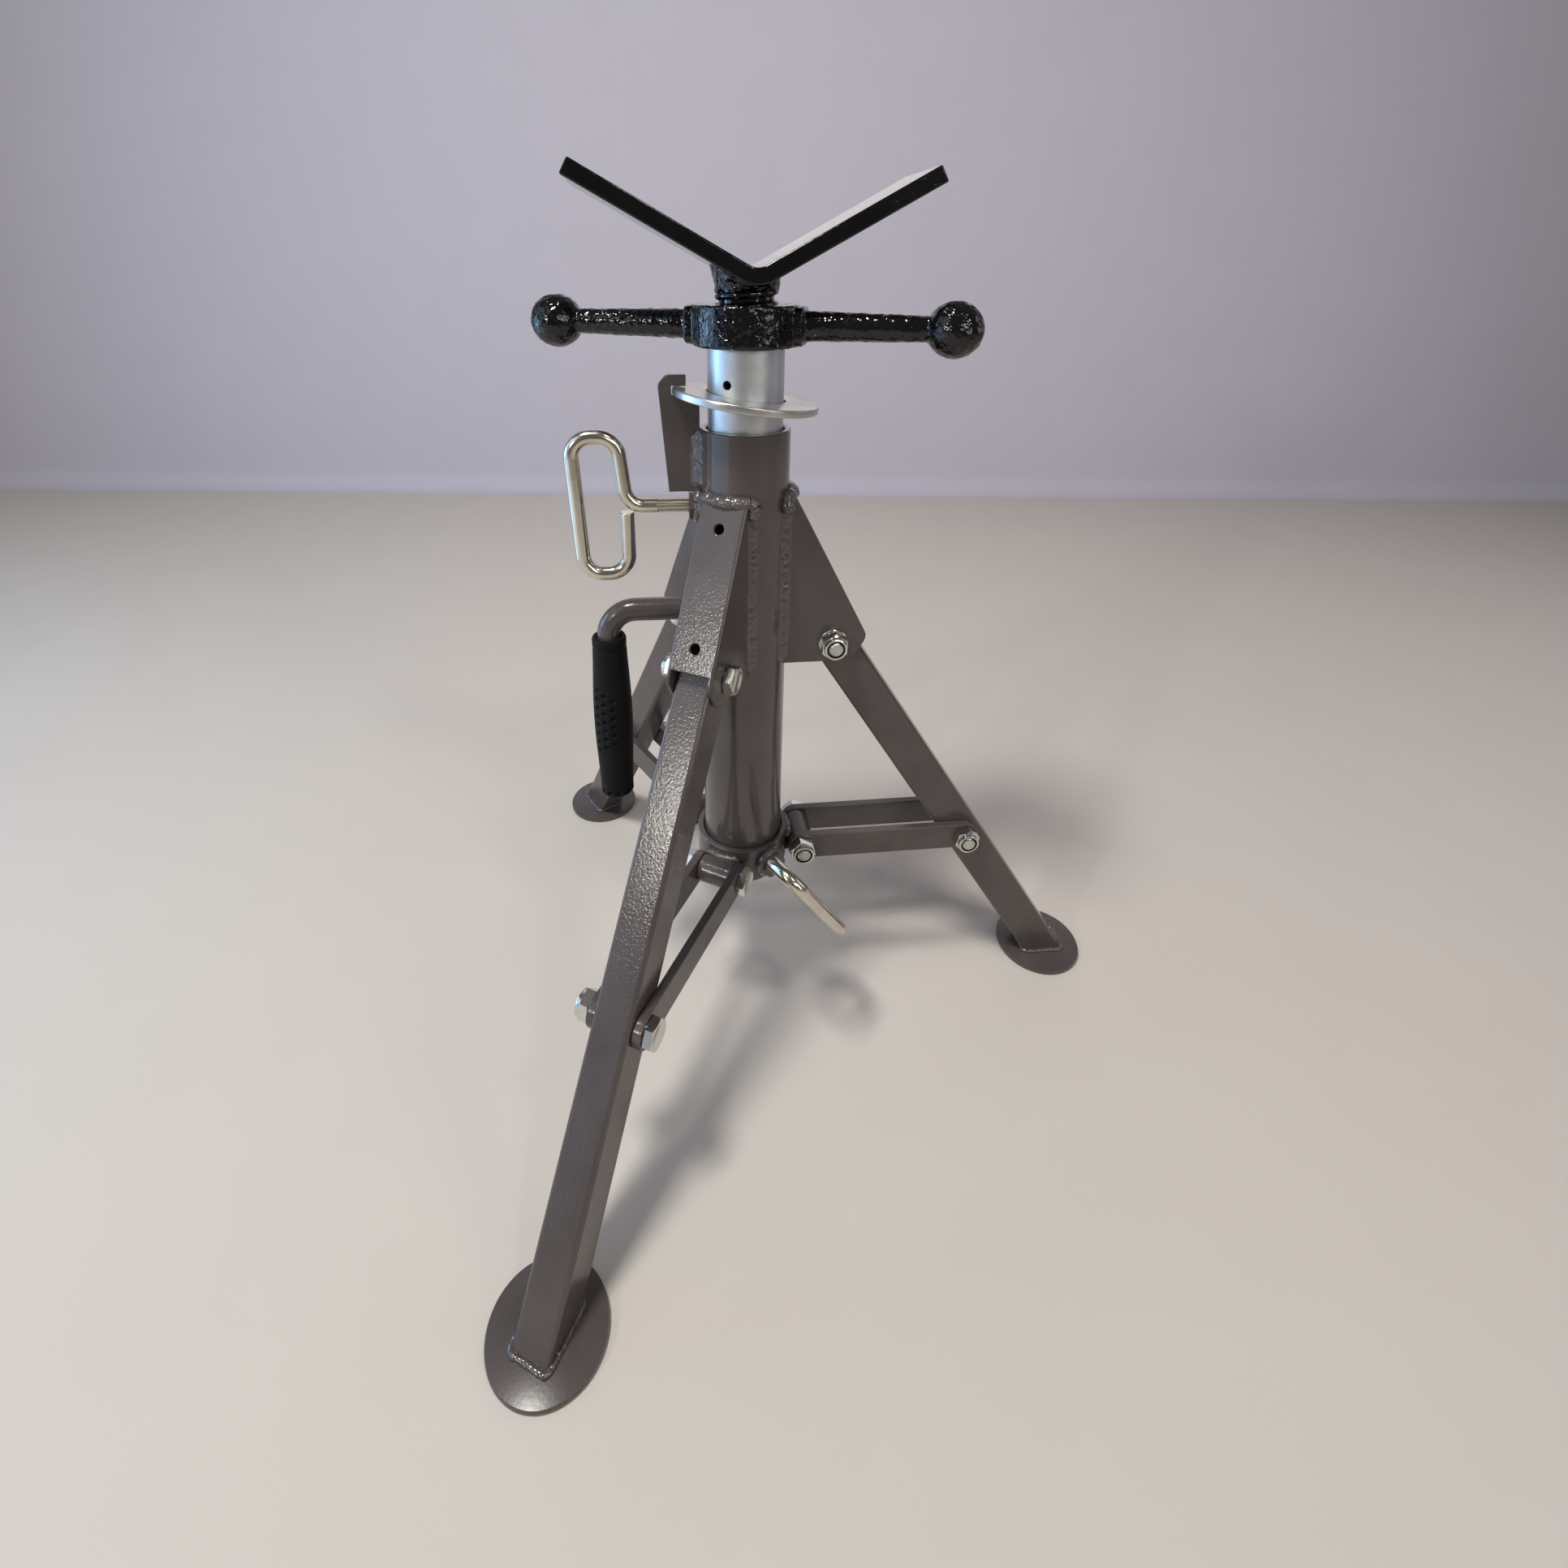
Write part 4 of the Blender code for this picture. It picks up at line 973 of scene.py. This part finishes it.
for count, side in enumerate(SIDES):
    even(piece("leg_tube_" + side, leg_tube(side), PAINT, "leg_" + side, ("leg_" + side,)))
    centre = middle("foot_" + side)
    foot = turned(foot_profile(), FOOT_STEPS, False, shift(centre.x, centre.y, 0))
    piece("foot_plate_" + side, foot, FOOT_PAINT, "leg_" + side, ("foot_" + side,))
    foot_out = (LEG_STATION[side].inverted() @ centre).x
    half_foot = LEG_DEPTH / 2 / math.cos(leg_axis(side)[1])
    seam = rectangle(foot_out, half_foot, LEG_HALF_WIDTH, LEG_CORNER, 5)
    bead("foot_weld_" + side, [(x, y, FOOT_THICK + FOOT_BEAD_RISE) for x, y in seam], FOOT_BEAD,
         LEG_STATION[side], "leg_" + side, 50 + count, closed=True)
print("legs and feet made")

# %% [markdown]
# ## Collar, bushes and links
# The collar slides on the post's foot. Three bushes are welded across it, and a pair of flat bars runs from
# each bush to its leg. The bars are cut from plate along the line from bush to pin, so they meet both.

# %% Collar, bushes and links
COLLAR_R = extent("collar_ring").x / 2
COLLAR_LOW, COLLAR_HIGH = levels("collar_ring")
COLLAR_PLAY, COLLAR_EDGE = 0.0008, 0.0009
BUSH_R, BUSH_BORE_R, BUSH_EDGE, BUSH_STEPS = 0.010, 0.0053, 0.0006, 48
BUSH_HALF = extent("collar_bush_front").x / 2
BUSH_BEAD, BUSH_BEAD_OUT, BUSH_BEAD_LIFT = 0.0032, 0.0012, 0.0062
LINK_THICK, LINK_R, LINK_EDGE = extent("link_front_near").x, 0.011, 0.0006


def hub_of(side):
    """The middle of a leg's bush, in its station."""
    return LEG_STATION[side].inverted() @ joint_spot("link_swing_" + side)


def make_links(side, place):
    """The pair of flat bars from a bush to its leg."""
    span = leg_axis(side)[2] - hub_of(side)
    half = span.length / 2
    outline = rectangle(half, half + LINK_R, LINK_R, LINK_R * 0.99, 10)
    swing = place @ Matrix.Rotation(-math.atan2(span.z, span.x), 4, "Y")
    for end in ("near", "far"):
        node = "link_%s_%s" % (side, end)
        aside = (LEG_STATION[side].inverted() @ middle(node)).y
        mesh = to_mesh(slab([outline], LINK_THICK), swing @ shift(0, aside, 0) @ UPRIGHT)
        soften(piece("flat_" + node, mesh, PAINT, "links_" + side, (node,)), LINK_EDGE)


collar = tube(COLLAR_R, POST_R + COLLAR_PLAY, COLLAR_LOW, COLLAR_HIGH, COLLAR_EDGE, TUBE_STEPS,
              CENTRE_STATION)
piece("collar", collar, PAINT, "collar", ("collar_ring",))
for count, side in enumerate(SIDES):
    hub = hub_of(side)
    at_hub = LEG_STATION[side] @ Matrix.Translation(hub)
    bush = tube(BUSH_R, BUSH_BORE_R, -BUSH_HALF, BUSH_HALF, BUSH_EDGE, BUSH_STEPS, at_hub @ TO_Y)
    piece("bush_" + side, bush, PAINT, "collar", ("collar_bush_" + side,))
    for number, lift in enumerate((-BUSH_BEAD_LIFT, BUSH_BEAD_LIFT)):
        seam = arc_across(COLLAR_R + BUSH_BEAD_OUT, BUSH_HALF, hub.z + lift, 6)
        bead("bush_weld_%s_%d" % (side, number), seam, BUSH_BEAD, LEG_STATION[side], "collar",
             60 + 3 * count + number)
    make_links(side, at_hub)
print("collar and links made")

# %% [markdown]
# ## Bolts, lock nuts and washers
# Every pivot has a zinc hexagon bolt and a lock nut with a dark nylon ring. The chamfer that a lathe leaves
# on a hexagon makes its curved corners, so each ring of the head follows the hexagon and its height drops
# where a corner stands out.

# %% Bolts and lock nuts
HEX_HALF, HEAD_HEIGHT, RING_STEPS = 0.0089, 0.0064, 72
HEX_CHAMFER, CHAMFER_START = math.tan(math.radians(30)), 0.985
WASHER_FACE, FACE_HEIGHT = HEX_HALF * 0.96, 0.0005
BOLT_R, BOLT_ROOT, BOLT_PITCH, BOLT_STEPS = 0.005, 0.00415, 0.0015, 32
NUT_HEX, NUT_TOP, COLLAR_TURN_R = 0.007, 0.010, 0.0083
BOLT_END = NUT_TOP + 0.0006
NYLON_R, NYLON_BORE_R, NYLON_EDGE = BOLT_R + 0.0016, BOLT_R - 0.0002, 0.0003


def hex_ring(height, drop):
    """A hexagonal ring whose corners are lower by the chamfer."""
    ring = []
    for angle in round_turn(RING_STEPS):
        reach = HEX_HALF / math.cos((angle + math.pi / 6) % (math.pi / 3) - math.pi / 6)
        fall = drop * (reach - HEX_HALF * CHAMFER_START) * HEX_CHAMFER
        ring.append((reach * math.cos(angle), reach * math.sin(angle), height - fall))
    return ring


def bolt_head(name, place, body, node):
    """A hexagon head on +Z with a washer face below and a turned chamfer above."""
    rings = level_rings([(WASHER_FACE, 0.0), (WASHER_FACE, FACE_HEIGHT)], RING_STEPS)
    rings += [hex_ring(FACE_HEIGHT + 0.0001, 0.0), hex_ring(HEAD_HEIGHT, 1.0)]
    rings += level_rings([(HEX_HALF * 0.95, HEAD_HEIGHT), (HEX_HALF * 0.80, HEAD_HEIGHT),
                          (HEX_HALF * 0.72, HEAD_HEIGHT - 0.0003)], RING_STEPS)
    piece(name, loft(rings, False, place), BRIGHT_ZINC, body, (node,), SMOOTH_HEX)


def lock_nut(name, place, body, node):
    """A lock nut on +Z, its nylon ring and the bolt's threaded end."""
    rings = level_rings([(WASHER_FACE, 0.0)], RING_STEPS)
    rings += [hex_ring(FACE_HEIGHT, 0.0), hex_ring(NUT_HEX, 1.0)]
    rings += level_rings([(HEX_HALF * 0.94, NUT_HEX), (COLLAR_TURN_R, NUT_HEX + 0.0003),
                          (COLLAR_TURN_R, NUT_TOP - 0.0009), (COLLAR_TURN_R * 0.97, NUT_TOP - 0.0003),
                          (COLLAR_TURN_R * 0.90, NUT_TOP), (NYLON_R, NUT_TOP - 0.0001), (NYLON_R, 0.0)],
                         RING_STEPS)
    piece(name, loft(rings, True, place), BRIGHT_ZINC, body, (node,), SMOOTH_HEX)
    ring = tube(NYLON_R, NYLON_BORE_R, NUT_HEX - 0.001, NUT_TOP - 0.0007, NYLON_EDGE, 48, place)
    piece(name + "_nylon", ring, NYLON, body)
    end = thread(BOLT_R, BOLT_ROOT, BOLT_PITCH, NUT_HEX, BOLT_END - 0.0008, BOLT_STEPS)
    piece(name + "_thread", to_mesh(end, place), BRIGHT_ZINC, body)
    tip = [(BOLT_R - 0.0004, BOLT_END - 0.0010), (BOLT_R - 0.0004, BOLT_END - 0.0005),
           (BOLT_R - 0.0009, BOLT_END), (0.0004, BOLT_END)]
    piece(name + "_tip", turned(tip, BOLT_STEPS, False, place), PLATE_ZINC, body)


print("bolts of %.0f mm, %.1f mm across flats" % (2000 * BOLT_R, 2000 * HEX_HALF))

# %% [markdown]
# Each leg has three bolts: the one it turns on, one through its bush, and one through its links. A table
# gives where each sits, what carries it, and how its head and nut stopped turning, so no two look alike.

# %% Bolts in place
WASHER_R, WASHER_THICK, WASHER_EDGE = 0.0106, 0.002, 0.0005
SHANK_PAST = 0.004
LINK_OUT = max(abs(corner.x - AXIS.x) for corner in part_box("link_front_far"))
HEAD_TURNS = {"front": 12.0, "right": 41.0, "left": 25.0}


def facing(side, spot, sideways, turn):
    """A place at a seat, whose +Z looks outwards along the bolt on that hand."""
    return (LEG_STATION[side] @ shift(spot.x, sideways, spot.z) @ (TO_Y if sideways > 0 else UPRIGHT)
            @ Matrix.Rotation(math.radians(turn), 4, "Z"))


for side in SIDES:
    pivot, _, pin = leg_axis(side)
    leg, links = "leg_" + side, "links_" + side
    under_washer, beside_link = FLANGE_OUT + GAP, LINK_OUT + GAP
    washer = tube(WASHER_R, BOLT_R + 0.0004, 0.0, WASHER_THICK, WASHER_EDGE, 64,
                  facing(side, pivot, -under_washer, 0))
    piece("pivot_flat_washer_" + side, washer, BRIGHT_ZINC, "post", ("pivot_washer_" + side,))
    for label, spot, body, head_seat, nut_seat, head_turn, nut_turn in (
            ("pivot", pivot, "post", under_washer, under_washer + GAP + WASHER_THICK, 0, 17),
            ("collar", hub_of(side), "collar", beside_link, beside_link, 8, 33),
            ("link", pin, links, beside_link, beside_link, 21, 5)):
        turn = HEAD_TURNS[side]
        bolt_head("%s_head_%s" % (label, side), facing(side, spot, head_seat, turn + head_turn), body,
                  "%s_bolt_%s" % (label, side))
        lock_nut("%s_lock_nut_%s" % (label, side), facing(side, spot, -nut_seat, turn + nut_turn), body,
                 "%s_nut_%s" % (label, side))
        through_leg = label == "link"
        half = LEG_HALF_WIDTH if through_leg else FLANGE_OUT + SHANK_PAST
        shank = rod(BOLT_R, half, BOLT_STEPS, LEG_STATION[side] @ Matrix.Translation(spot) @ TO_Y)
        piece("%s_shank_%s" % (label, side), shank, BRIGHT_ZINC, leg if through_leg else body,
              ("link_pin_" + side,) if through_leg else ())
print("fasteners made")

# %% [markdown]
# ## Lock screws
# Both lock screws are the same: a threaded end, then round bar bent into a finger loop whose cut end stops
# just short of its own shank. The bar is swept along lines and arcs, and the thread is a true helix. Each
# turns in a hexagon nut that is welded to its tube and painted over.

# %% Lock screws
ROD_R, ROD_ROOT, ROD_PITCH, ROD_EDGE = 0.005, 0.00415, 0.0015, 0.0006
ROD_NEAR, ROD_FAR, ROD_UP, ROD_DOWN = 0.055, 0.0905, 0.0475, 0.0485
ROD_BEND, ROD_LEAN, THREAD_CLEAR = 0.0135, 0.005, 0.009
BOSS_HALF, BOSS_LENGTH, BOSS_PLAY = 0.0085, 0.008, 0.0002
BOSS_BEAD, BOSS_BEAD_R, BOSS_BEAD_OUT = 0.0036, BOSS_HALF * 1.06, 0.0015
COLLAR_SCREW_ROLL, COLLAR_SCREW_SHORTER = math.radians(34.0), 0.022


def loop_screw(name, base, tip, roll=0.0, shorter=0.0):
    """A screw whose axis is +X from the post, with its loop turned by roll."""
    place = base @ shift(tip, 0, joint_spot(name + "_turn").z) @ Matrix.Rotation(roll, 4, "X")
    near, far = ROD_NEAR - shorter, ROD_FAR - shorter
    bend_start = ROD_BEND * math.tan((math.pi / 2 - math.atan(ROD_LEAN / ROD_UP)) / 2)
    thread_end = near - bend_start - THREAD_CLEAR
    under_bend = math.sqrt((ROD_BEND + ROD_R) ** 2 - (bend_start - ROD_R) ** 2) - ROD_BEND + 2 * GAP
    bends = [(near, 0), (near + ROD_LEAN, ROD_UP), (far, ROD_UP), (far - ROD_LEAN, -ROD_DOWN),
             (near, -ROD_DOWN)]
    corners = [((thread_end, 0), 0), *[(bend, ROD_BEND) for bend in bends], ((near, -under_bend), 0)]
    route = [(x, 0, z) for x, z in rounded(corners, closed=False, steps=14)]
    loop = piece(name + "_loop", to_mesh(bar(route, ROD_R, 10), place), SCREW_ZINC, name, (name,))
    soften(loop, ROD_EDGE, 3, 60)
    screw_end = thread(ROD_R, ROD_ROOT, ROD_PITCH, 0.0, thread_end, 36)
    piece(name + "_thread", to_mesh(screw_end, place @ TO_X), SCREW_ZINC, name)


def boss(name, base, seat, height, body, node, seed):
    """A hexagon nut welded to its tube."""
    place = base @ shift(seat, 0, height)
    bore = ROD_R + BOSS_PLAY
    rings = [hex_ring(0.0, 0.0), hex_ring(BOSS_LENGTH, 1.0)]
    rings += level_rings([(BOSS_HALF * 0.93, BOSS_LENGTH), (bore + 0.0007, BOSS_LENGTH),
                          (bore, BOSS_LENGTH - 0.0007), (bore, 0.0)], RING_STEPS)
    piece(name, loft(rings, True, place @ TO_X), PAINT, body, (node,), SMOOTH_HEX)
    hoop = [(BOSS_BEAD_OUT, BOSS_BEAD_R * math.cos(a), BOSS_BEAD_R * math.sin(a)) for a in round_turn(48)]
    bead(name + "_weld", hoop, BOSS_BEAD, place, body, seed, closed=True)


loop_screw("lock_screw", SIDE_STATION, MAST_R + GAP)
boss("lock_nut_boss", SIDE_STATION, POST_R + GAP, joint_spot("lock_screw_turn").z, "post", "lock_boss", 71)
loop_screw("collar_screw", COLLAR_SCREW_STATION, POST_R + GAP, COLLAR_SCREW_ROLL, COLLAR_SCREW_SHORTER)
boss("collar_nut_boss", COLLAR_SCREW_STATION, COLLAR_R + GAP, (COLLAR_LOW + COLLAR_HIGH) / 2, "collar",
     "collar_boss", 72)
print("lock screws made")

# %% [markdown]
# ## Carry handle
# The handle is round bar bent down beside the post and welded to it all round, where the bead follows the
# curve of the tube.

# %% Carry handle
HANDLE_R, HANDLE_SINK = 0.00825, 0.001
HANDLE_BEAD, HANDLE_BEAD_R, HANDLE_BEAD_OUT = 0.0028, HANDLE_R * 1.08, 0.0014
HANDLE_LOW, HANDLE_HIGH = levels("carry_handle")
HANDLE_Z = HANDLE_HIGH - HANDLE_R
GRIP_LOW, GRIP_TOP = levels("handle_grip")
GRIP_REACH = (SIDE_STATION.inverted() @ middle("handle_grip")).x
corners = [((POST_R - HANDLE_SINK, HANDLE_Z), 0), ((GRIP_REACH, HANDLE_Z), HANDLE_Z - GRIP_TOP - GAP),
           ((GRIP_REACH, HANDLE_LOW), 0)]
route = [(x, 0, z) for x, z in rounded(corners, closed=False, steps=16)]
piece("handle_bar", to_mesh(bar(route, HANDLE_R, 12), SIDE_STATION), PAINT, "post", ("carry_handle",))
hoop = [(POST_R + HANDLE_BEAD_OUT - 0.5 * (HANDLE_R * math.cos(a)) ** 2 / POST_R,
         HANDLE_BEAD_R * math.cos(a), HANDLE_Z + HANDLE_BEAD_R * math.sin(a)) for a in round_turn(48)]
bead("handle_weld", hoop, HANDLE_BEAD, SIDE_STATION, "post", 81, closed=True)
print("handle reaches %.0f mm out" % (GRIP_REACH * 1000))

# %% [markdown]
# ## Grip
# The rubber grip swells at the palm. It has a patch of round dimples on one side and a row of them round its
# foot. A bump would vanish at the outline, so the dimples are pushed into a finely lofted sleeve.

# %% Grip
GRIP_RIM, GRIP_BELLY, GRIP_CORE = 0.01225, 0.01425, 0.0004
GRIP_LENGTH = GRIP_TOP - GRIP_LOW
GRIP_ROWS, GRIP_STEPS = 260, 192
SLEEVE_START, SLEEVE_SPAN = 0.012, 0.976
FOOT_RINGS = [(GRIP_CORE, GRIP_LOW), (GRIP_RIM * 0.80, GRIP_LOW), (GRIP_RIM * 0.93, GRIP_LOW + 0.0007)]
TOP_RINGS = [(GRIP_RIM * 0.95, GRIP_TOP), (HANDLE_R + 0.0016, GRIP_TOP),
             (HANDLE_R + GAP, GRIP_TOP - 0.0012), (HANDLE_R + GAP, GRIP_TOP - 0.004),
             (GRIP_CORE, GRIP_TOP - 0.004)]
DIMPLE_R, DIMPLE_DEPTH = 0.0023, 0.0016
DIMPLE_PITCH, DIMPLE_SPACING = 0.0072, math.radians(27.0)
PATCH_COLUMNS = (6, 7, 8, 7, 6)
PATCH_AZIMUTH, PATCH_SHARE = math.radians(41.0), 0.513
FOOT_DIMPLES, FOOT_DIMPLE_SHARE = 11, 0.032
GROOVE_SHARE, GROOVE_DEPTH, GROOVE_WIDTH = 0.94, 0.0005, 0.0009


def grip_radius(share):
    """The grip's radius from its foot, 0, to its top, 1, with a groove near the top."""
    swell = math.sin(math.pi * min(1.0, max(0.0, (share - 0.06) / 0.88))) ** 1.4
    groove = GROOVE_DEPTH * math.exp(-((share - GROOVE_SHARE) * GRIP_LENGTH / GROOVE_WIDTH) ** 2)
    return GRIP_RIM + (GRIP_BELLY - GRIP_RIM) * swell - groove


def dimples():
    """Each dimple's turn round the sleeve and its height above the foot."""
    spots = [(turn, FOOT_DIMPLE_SHARE * GRIP_LENGTH) for turn in round_turn(FOOT_DIMPLES)]
    for column, rows in enumerate(PATCH_COLUMNS):
        turn = PATCH_AZIMUTH + DIMPLE_SPACING * (column - len(PATCH_COLUMNS) // 2)
        spots += [(turn, PATCH_SHARE * GRIP_LENGTH + DIMPLE_PITCH * (row - (rows - 1) / 2))
                  for row in range(rows)]
    return spots


def sleeve_ring(radius, height, spots):
    """One ring of the sleeve, pushed in where it crosses a dimple."""
    crossed = [(turn, above - height) for turn, above in spots if abs(above - height) < DIMPLE_R]
    ring = []
    for angle in round_turn(GRIP_STEPS):
        reach = radius
        for turn, above in crossed:
            across = radius * ((angle - turn + math.pi) % math.tau - math.pi)
            inside = min(1.0, max(0.0, 1.0 - math.hypot(across, above) / DIMPLE_R) / 0.5)
            reach -= DIMPLE_DEPTH * inside ** 2 * (3.0 - 2.0 * inside)
        ring.append((reach * math.cos(angle), reach * math.sin(angle), GRIP_LOW + height))
    return ring


spots = dimples()
sleeve = level_rings(FOOT_RINGS, GRIP_STEPS)
for row in range(GRIP_ROWS + 1):
    share = SLEEVE_START + SLEEVE_SPAN * row / GRIP_ROWS
    sleeve.append(sleeve_ring(grip_radius(share), share * GRIP_LENGTH, spots))
sleeve += level_rings(TOP_RINGS, GRIP_STEPS)
piece("grip_sleeve", loft(sleeve, False, SIDE_STATION @ shift(GRIP_REACH, 0, 0)), RUBBER, "post",
      ("handle_grip",), SMOOTH_GRIP)
print("grip with", len(spots), "dimples")

# %% [markdown]
# ## Camera
# The camera stands where the photograph was taken: just in front of the stand, near the height of its head,
# with a wide lens that looks a little down. The lens is shifted as far as the framing needs.

# %% Camera
CAMERA_TURN = math.radians(23.95)
CAMERA_OUT, CAMERA_ASIDE, CAMERA_HEIGHT = 0.507, 0.0007, 0.5796
CAMERA_PITCH, CAMERA_ROLL = math.radians(20.17), math.radians(0.45)
FOCAL_PIXELS, IMAGE_PIXELS = 949.3, 1932
PRINCIPAL = (918.6, 671.6)
CAMERA_STATION = station(CAMERA_TURN)

camera_data = bpy.data.cameras.new("camera")
camera_data.sensor_width = 36.0
camera_data.lens = FOCAL_PIXELS / IMAGE_PIXELS * camera_data.sensor_width
camera_data.shift_x = (IMAGE_PIXELS / 2 - PRINCIPAL[0]) / IMAGE_PIXELS
camera_data.shift_y = (PRINCIPAL[1] - IMAGE_PIXELS / 2) / IMAGE_PIXELS
camera_data.clip_start = 0.01
camera = added("camera", camera_data)
camera.matrix_world = (CAMERA_STATION @ shift(CAMERA_ASIDE, -CAMERA_OUT, CAMERA_HEIGHT)
                       @ Matrix.Rotation(math.pi / 2 - CAMERA_PITCH, 4, "X")
                       @ Matrix.Rotation(CAMERA_ROLL, 4, "Z"))
bpy.context.scene.camera = camera
bpy.context.scene.view_settings.view_transform = "Standard"
print("lens of %.1f mm" % camera_data.lens)

# %% [markdown]
# ## Floor and backdrop
# The stand is shown in a plain studio: a pale floor turns up into a plain wall behind it. One strip with a
# small cove makes both, so no seam shows, and a faint cloud keeps either from looking painted on.

# %% Floor and backdrop
FLOOR_TONE, WALL_TONE = tone(206, 200, 193), tone(204, 201, 214)
FLOOR_CLOUD, FLOOR_DROP = 0.12, 0.0005
FLOOR_HALF, WALL_DISTANCE, WALL_HEIGHT, COVE = 6.0, 1.5, 4.0, 0.05


def pale(name, colour):
    finish = Finish(name)
    cloud = finish.noise(FLOOR_CLOUD, 4.0)
    light = tuple(min(1.0, part * 1.06) for part in colour[:3]) + (1.0,)
    finish.colour(finish.mix(cloud, colour, light))
    finish.roughness(0.75 + 0.1 * cloud)
    return finish.material


section = rounded([((-FLOOR_HALF, 0.0), 0), ((WALL_DISTANCE, 0.0), COVE), ((WALL_DISTANCE, WALL_HEIGHT), 0)],
                  closed=False, steps=10)
shape = bmesh.new()
rows = [[shape.verts.new((x, y, z)) for y, z in section] for x in (-FLOOR_HALF, FLOOR_HALF)]
for first in range(len(section) - 1):
    strip = shape.faces.new((rows[0][first], rows[1][first], rows[1][first + 1], rows[0][first + 1]))
    strip.material_index = 0 if first == 0 else 1
mesh = to_mesh(shape, CAMERA_STATION @ shift(0, 0, -FLOOR_DROP))
mesh.shade_smooth()
mesh.materials.append(pale("pale_floor", FLOOR_TONE))
mesh.materials.append(pale("plain_wall", WALL_TONE))
added("floor", mesh)
print("wall %.1f m behind the post" % WALL_DISTANCE)

# %% [markdown]
# ## Light
# A warm ceiling panel gives the shadow, a cool window and a doorway light the left, and weaker lamps fill
# the right and the back. The cards only glint: they show in gloss and metal as the bright lines along folds
# and tubes, and add nothing to dull surfaces.

# %% Light
WARM, AMBER, DAY, BLUE = (1.0, 0.95, 0.88), (1.0, 0.94, 0.86), (0.70, 0.85, 1.0), (0.40, 0.68, 1.0)


def lamp(name, place, aim_height, size, power, colour, glint_only=False):
    """A soft panel out of the camera's sight that faces the post; one that only glints is a card."""
    data = bpy.data.lights.new(name, "AREA")
    data.shape = "RECTANGLE"
    data.size, data.size_y = size
    data.energy = power
    data.color = colour
    obj = added(name, data)
    obj.visible_camera = False
    obj.visible_diffuse = not glint_only
    spot = CAMERA_STATION @ Vector(place)
    aim = CAMERA_STATION @ Vector((0, 0, aim_height))
    obj.matrix_world = Matrix.Translation(spot) @ (aim - spot).to_track_quat("-Z", "Y").to_matrix().to_4x4()


lamp("ceiling", (-0.55, -0.50, 2.1), 0.2, (0.32, 0.32), 28.0, (1.0, 0.96, 0.90))
lamp("ceiling_right", (0.75, -0.90, 2.0), 0.3, (0.18, 0.18), 4.0, WARM)
lamp("window", (-1.7, -0.9, 1.6), 0.35, (1.4, 1.2), 6.0, DAY)
lamp("doorway", (-1.9, 0.2, 0.9), 0.4, (0.22, 1.6), 5.0, (0.36, 0.64, 1.0))
lamp("lamp_left", (-1.58, -1.66, 1.11), 0.3, (0.16, 0.20), 8.0, (1.0, 0.96, 0.89))
lamp("lamp_right", (1.55, -1.45, 1.0), 0.4, (0.35, 1.2), 5.0, AMBER)
lamp("fill", (1.9, 0.2, 1.0), 0.3, (0.8, 1.2), 3.0, (0.97, 0.84, 0.95))
lamp("back_panel", (0.15, 1.35, 0.95), 0.6, (1.6, 0.5), 1.2, AMBER)
lamp("card_left", (-0.90, 0.085, 0.375), 0.375, (0.17, 0.75), 0.8, BLUE, True)
lamp("card_blue", (-0.985, -0.17, 0.20), 0.20, (1.6, 0.40), 1.6, (0.34, 0.58, 1.0), True)
lamp("card_door", (-1.5, -0.05, 0.50), 0.4, (1.2, 0.5), 4.5, BLUE, True)
lamp("card_right", (0.65, -1.46, 1.04), 0.4, (0.56, 0.32), 3.5, WARM, True)
world = bpy.data.worlds.new("studio")
world.use_nodes = True
world.node_tree.nodes["Background"].inputs["Color"].default_value = (0.80, 0.80, 0.84, 1.0)
world.node_tree.nodes["Background"].inputs["Strength"].default_value = 0.15
bpy.context.scene.world = world
print("lamps and cards:", len(bpy.data.lights))
